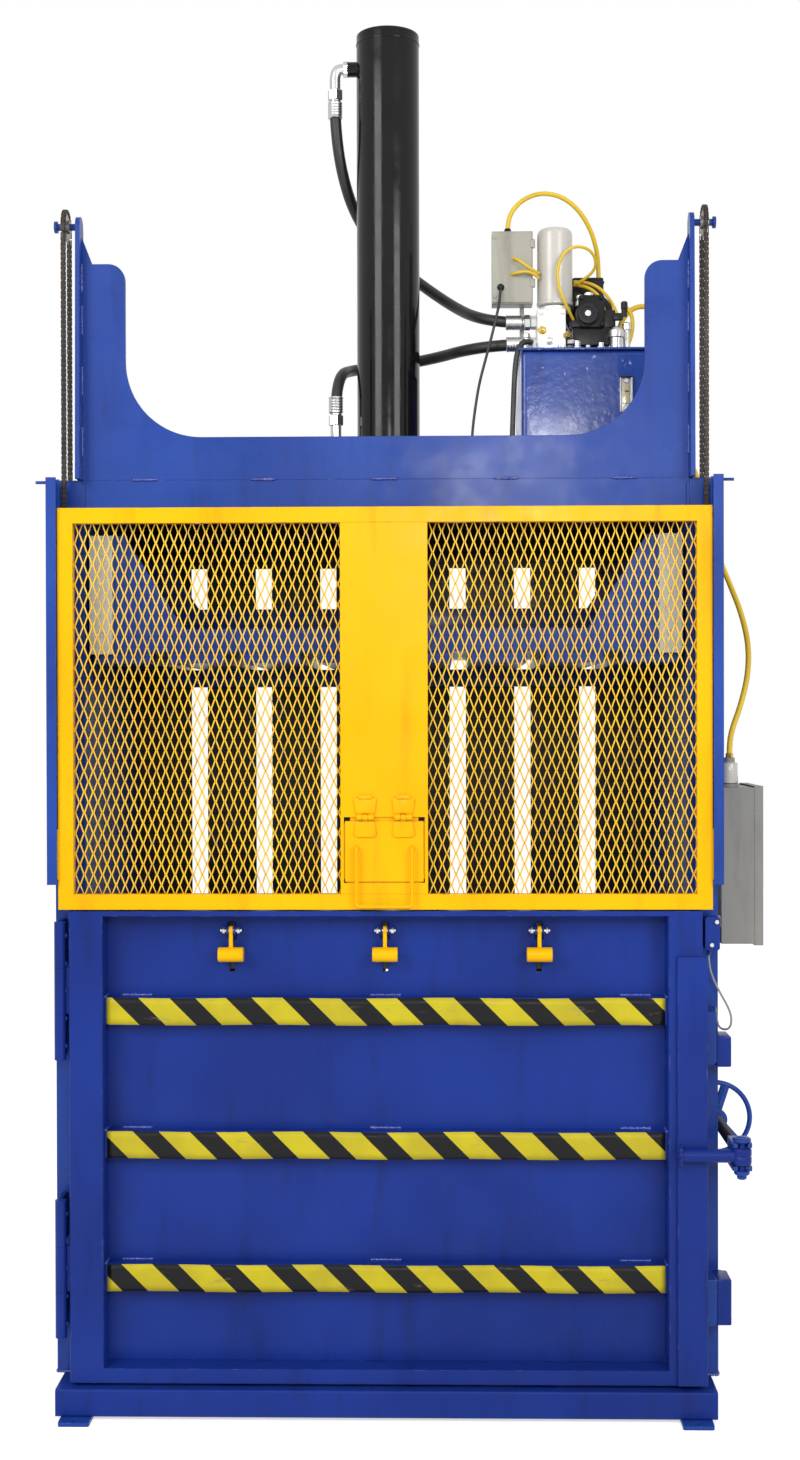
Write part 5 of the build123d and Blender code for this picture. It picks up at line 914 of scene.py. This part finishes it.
# Door furniture: hex nuts on the dog pins, plugs in the hinge leaves, bolts on the switch, and
# the tail that each dog reaches through the skin with.
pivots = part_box("dog_pins")
DOG_PITCH, DOG_Y, DOG_Z = 0.4, (pivots[0].y + pivots[1].y) / 2, 1.255
for k in (-1, 0, 1):
    for side in (-1, 1):
        lathe((k * DOG_PITCH + side * 0.0165, DOG_Y, DOG_Z), (side, 0, 0), [(9.2, -0.5, 5.5), (7.8, 7)], 6)
        lathe((k * DOG_PITCH + side * 0.0235, DOG_Y, DOG_Z), (side, 0, 0), [(5, 0), (4.5, 4)], 12)
keep("dog_nuts", bright_zinc, "door")
# The tails lie inside the chamber and are dark with painted shade.
for k in (-1, 0, 1):
    block((k * DOG_PITCH - 0.0135, -0.4435, 1.15), (k * DOG_PITCH + 0.0135, -0.4385, 1.275), 0.001)
    keep(f"dog_tail_{k + 2}", chamber_steel_in_shade, "door")
for x, z in ((0.853, 1.28), (0.84, 1.221)):
    lathe((x, -0.5105, z), FRONT, [(6.2, -2, 3), (5, 4.2)], 6)
keep("switch_bolts", bright_zinc)
COLUMN_FRONT = -0.4155
for low, high in ((0.905, 0.984), (0.238, 0.357)):
    block((0.8525, -0.5, low), (0.892, COLUMN_FRONT, high), 0.005, 3)
    block((COLUMN_SEAM_X, COLUMN_FRONT, low + 0.004), (0.879, -0.4, high - 0.004))
keep("keeper_blocks", blue_enamel_in_shade)
for low, high in ((0.201, 0.558), (0.922, 1.28)):
    for share in (0.1, 0.3, 0.5, 0.7, 0.9):
        lathe((-0.829, -0.5005, low + (high - low) * share), FRONT, [(6, -1, 1), (4.5, 2.2), (2, 2.4)], 18)
keep("hinge_plugs", blue_enamel, "door")


# The latch: a greased screw with a rolled thread draws an open fork against the round pin of the
# arm. Round heads above and below keep the pin in the fork while the door is shut. Boss and pin
# are made here only, because the CAD solid of the latch bar lacks them.
greased_screw = finish("greased_screw", (0.12, 0.105, 0.085), (0.035, 0.032, 0.036), 0.32, 0.6,
    grain=(120.0, 0.4, 0.001), worn=(0.3, 0.26, 0.21), wear=0.28, grime=(0.012, 0.01, 0.009), dirt=0.7,
    edge=0.001)
SCREW_R, LATCH_X, LATCH_Z, ARM_Y = 14, 0.91, 0.688, -0.549
LATCH, head_y = (LATCH_X, ARM_Y, LATCH_Z), ARM_Y + 0.075
screw_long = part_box("latch_screw")[1].y - head_y
thread = [(SCREW_R + (0.2 if k % 2 else 1.2), 2 + k * 2) for k in range(int((screw_long - 0.004) / 0.002))]
lathe((LATCH_X, head_y, LATCH_Z), BACK, [(SCREW_R - 2, 0)] + thread + [(SCREW_R - 2, screw_long * 1000)])
keep("screw_thread", greased_screw, "screw")
for side, wide, end in ((1, 23.5, 13), (-1, 20, 20)):
    lathe((LATCH_X, ARM_Y, LATCH_Z + side * 0.0365), (0, 0, side), [(wide - 2, 0), (wide, 2, 8),
        (wide - 4, 11.5), (12.5, 12.2), (12.2, end), (9, 22.5 if side < 0 else 14)], 32)
keep("latch_pin_heads", blue_enamel, "door")
lathe(LATCH, UP, [(20, -22), (24.2, -19), (25, -15, -3), (23.6, 0), (25, 3, 15), (24.2, 19), (20, 22)], 40)
lathe(LATCH, UP, [(11, -47, 47)], 32)
keep("latch_boss", blue_enamel_in_shade, "door")
ROOT_X, ROOT_Y, ROOT_R, BLOBS = 0.7545, -0.5335, 0.0165, 9
for k in range(BLOBS):
    angle = tau * k / BLOBS
    spot = Vector((ROOT_X, ROOT_Y - ROOT_R + ROOT_R * sin(angle) * 0.9, LATCH_Z + 0.019 * cos(angle)))
    bmesh.ops.create_icosphere(bench, subdivisions=2, radius=0.0085 + 0.0018 * sin(2.7 * k),
        matrix=Matrix.Translation(spot) @ Matrix.Diagonal((0.8, 0.85, 1.1, 1)))
keep("arm_weld", blue_enamel_in_shade, "door")


# The handwheel's spokes: three flat bars with rolled edges from the hub to the rim, 120 degrees
# apart, painted with the wheel.
WHEEL_Y, WHEEL_R, HUB_R = -0.092, 0.097, 0.019
for angle in (72, -48, -168):
    before = set(bench.verts)
    block((HUB_R - 0.004, -0.006, -0.0125), (WHEEL_R - 0.001, 0.006, 0.0125), 0.0052, 4)
    place = Matrix.Translation((LATCH_X, WHEEL_Y, LATCH_Z)) @ Matrix.Rotation(-radians(angle), 4, "Y")
    bmesh.ops.transform(bench, verts=[v for v in bench.verts if v not in before], matrix=place)
keep("wheel_spokes", blue_enamel, "wheel")


# Controls: a folded box in grey enamel with a rimmed lid, a white cable gland with a brass
# collar, push buttons in moulded plastic, and the beige junction box with its hinged door.
box_grey = finish("box_grey", (0.255, 0.25, 0.235), (0.225, 0.22, 0.205), 0.42, grain=(160.0, 0.2, 0.0005),
    swell=0.06, worn=(0.42, 0.41, 0.39), grime=(0.1, 0.095, 0.08), dirt=0.5, shine=0.3)
dress(box_grey, "control_box", "control_lid")
button_green = finish("button_green", (0.01, 0.26, 0.045), (0.008, 0.2, 0.035), 0.3,
    grain=(200.0, 0.1, 0.0002), coat=0.3, edge=0.0008)
button_red = finish("button_red", (0.56, 0.012, 0.01), (0.44, 0.01, 0.008), 0.3, grain=(200.0, 0.1, 0.0002),
    coat=0.3, edge=0.0008)
dress(button_green, "start_button")
dress(button_red, "stop_button")
GLAND = 0.911, -0.35
lathe((*GLAND, 1.6205), UP, [(23.5, 0), (24, 2), (23.5, 9.5), (21.5, 11)], 32)
keep("gland_washer", black_plastic)
lathe((*GLAND, 1.6315), UP, [(22.2, 0), (23, 2, 20), (21.5, 22, 50), (19, 54.5), (12, 55.5)], 12)
keep("gland_body", filter_white)
lathe((*GLAND, 1.687), UP, [(11.5, 0), (13, 1, 12), (10, 14, 22), (8.2, 24)], 6)
keep("gland_collar", brass)
box_beige = finish("box_beige", (0.4, 0.39, 0.33), (0.34, 0.33, 0.275), 0.36, grain=(160.0, 0.2, 0.0005),
    worn=(0.55, 0.54, 0.5), grime=(0.16, 0.15, 0.11), dirt=0.5, shine=0.35)
dress(box_beige, "junction_box")
block((0.2925, -0.0785, 2.9685), (0.4045, -0.0752, 3.1655), 0.0012)
for z in (3.01, 3.12):
    lathe((0.4095, -0.0755, z), UP, [(3, 0), (4.2, 1, 24), (3, 25)], 14)
    block((0.4, -0.08, z + 0.002), (0.4095, -0.078, z + 0.023), 0.0006)
for z in (2.985, 3.15):
    lathe((0.3, -0.0785, z), FRONT, [(5, 0, 1.5), (4, 2.5)], 16)
keep("junction_door", box_beige)
lathe((0.317, -0.0785, 3.01), FRONT, [(10, 0, 4), (7, 6), (5.5, 12)], 20)
lathe((0.338, -0.045, 3.1685), UP, [(13, 0, 6), (10, 8), (8.5, 14)], 12)
keep("junction_grommets", black_plastic)
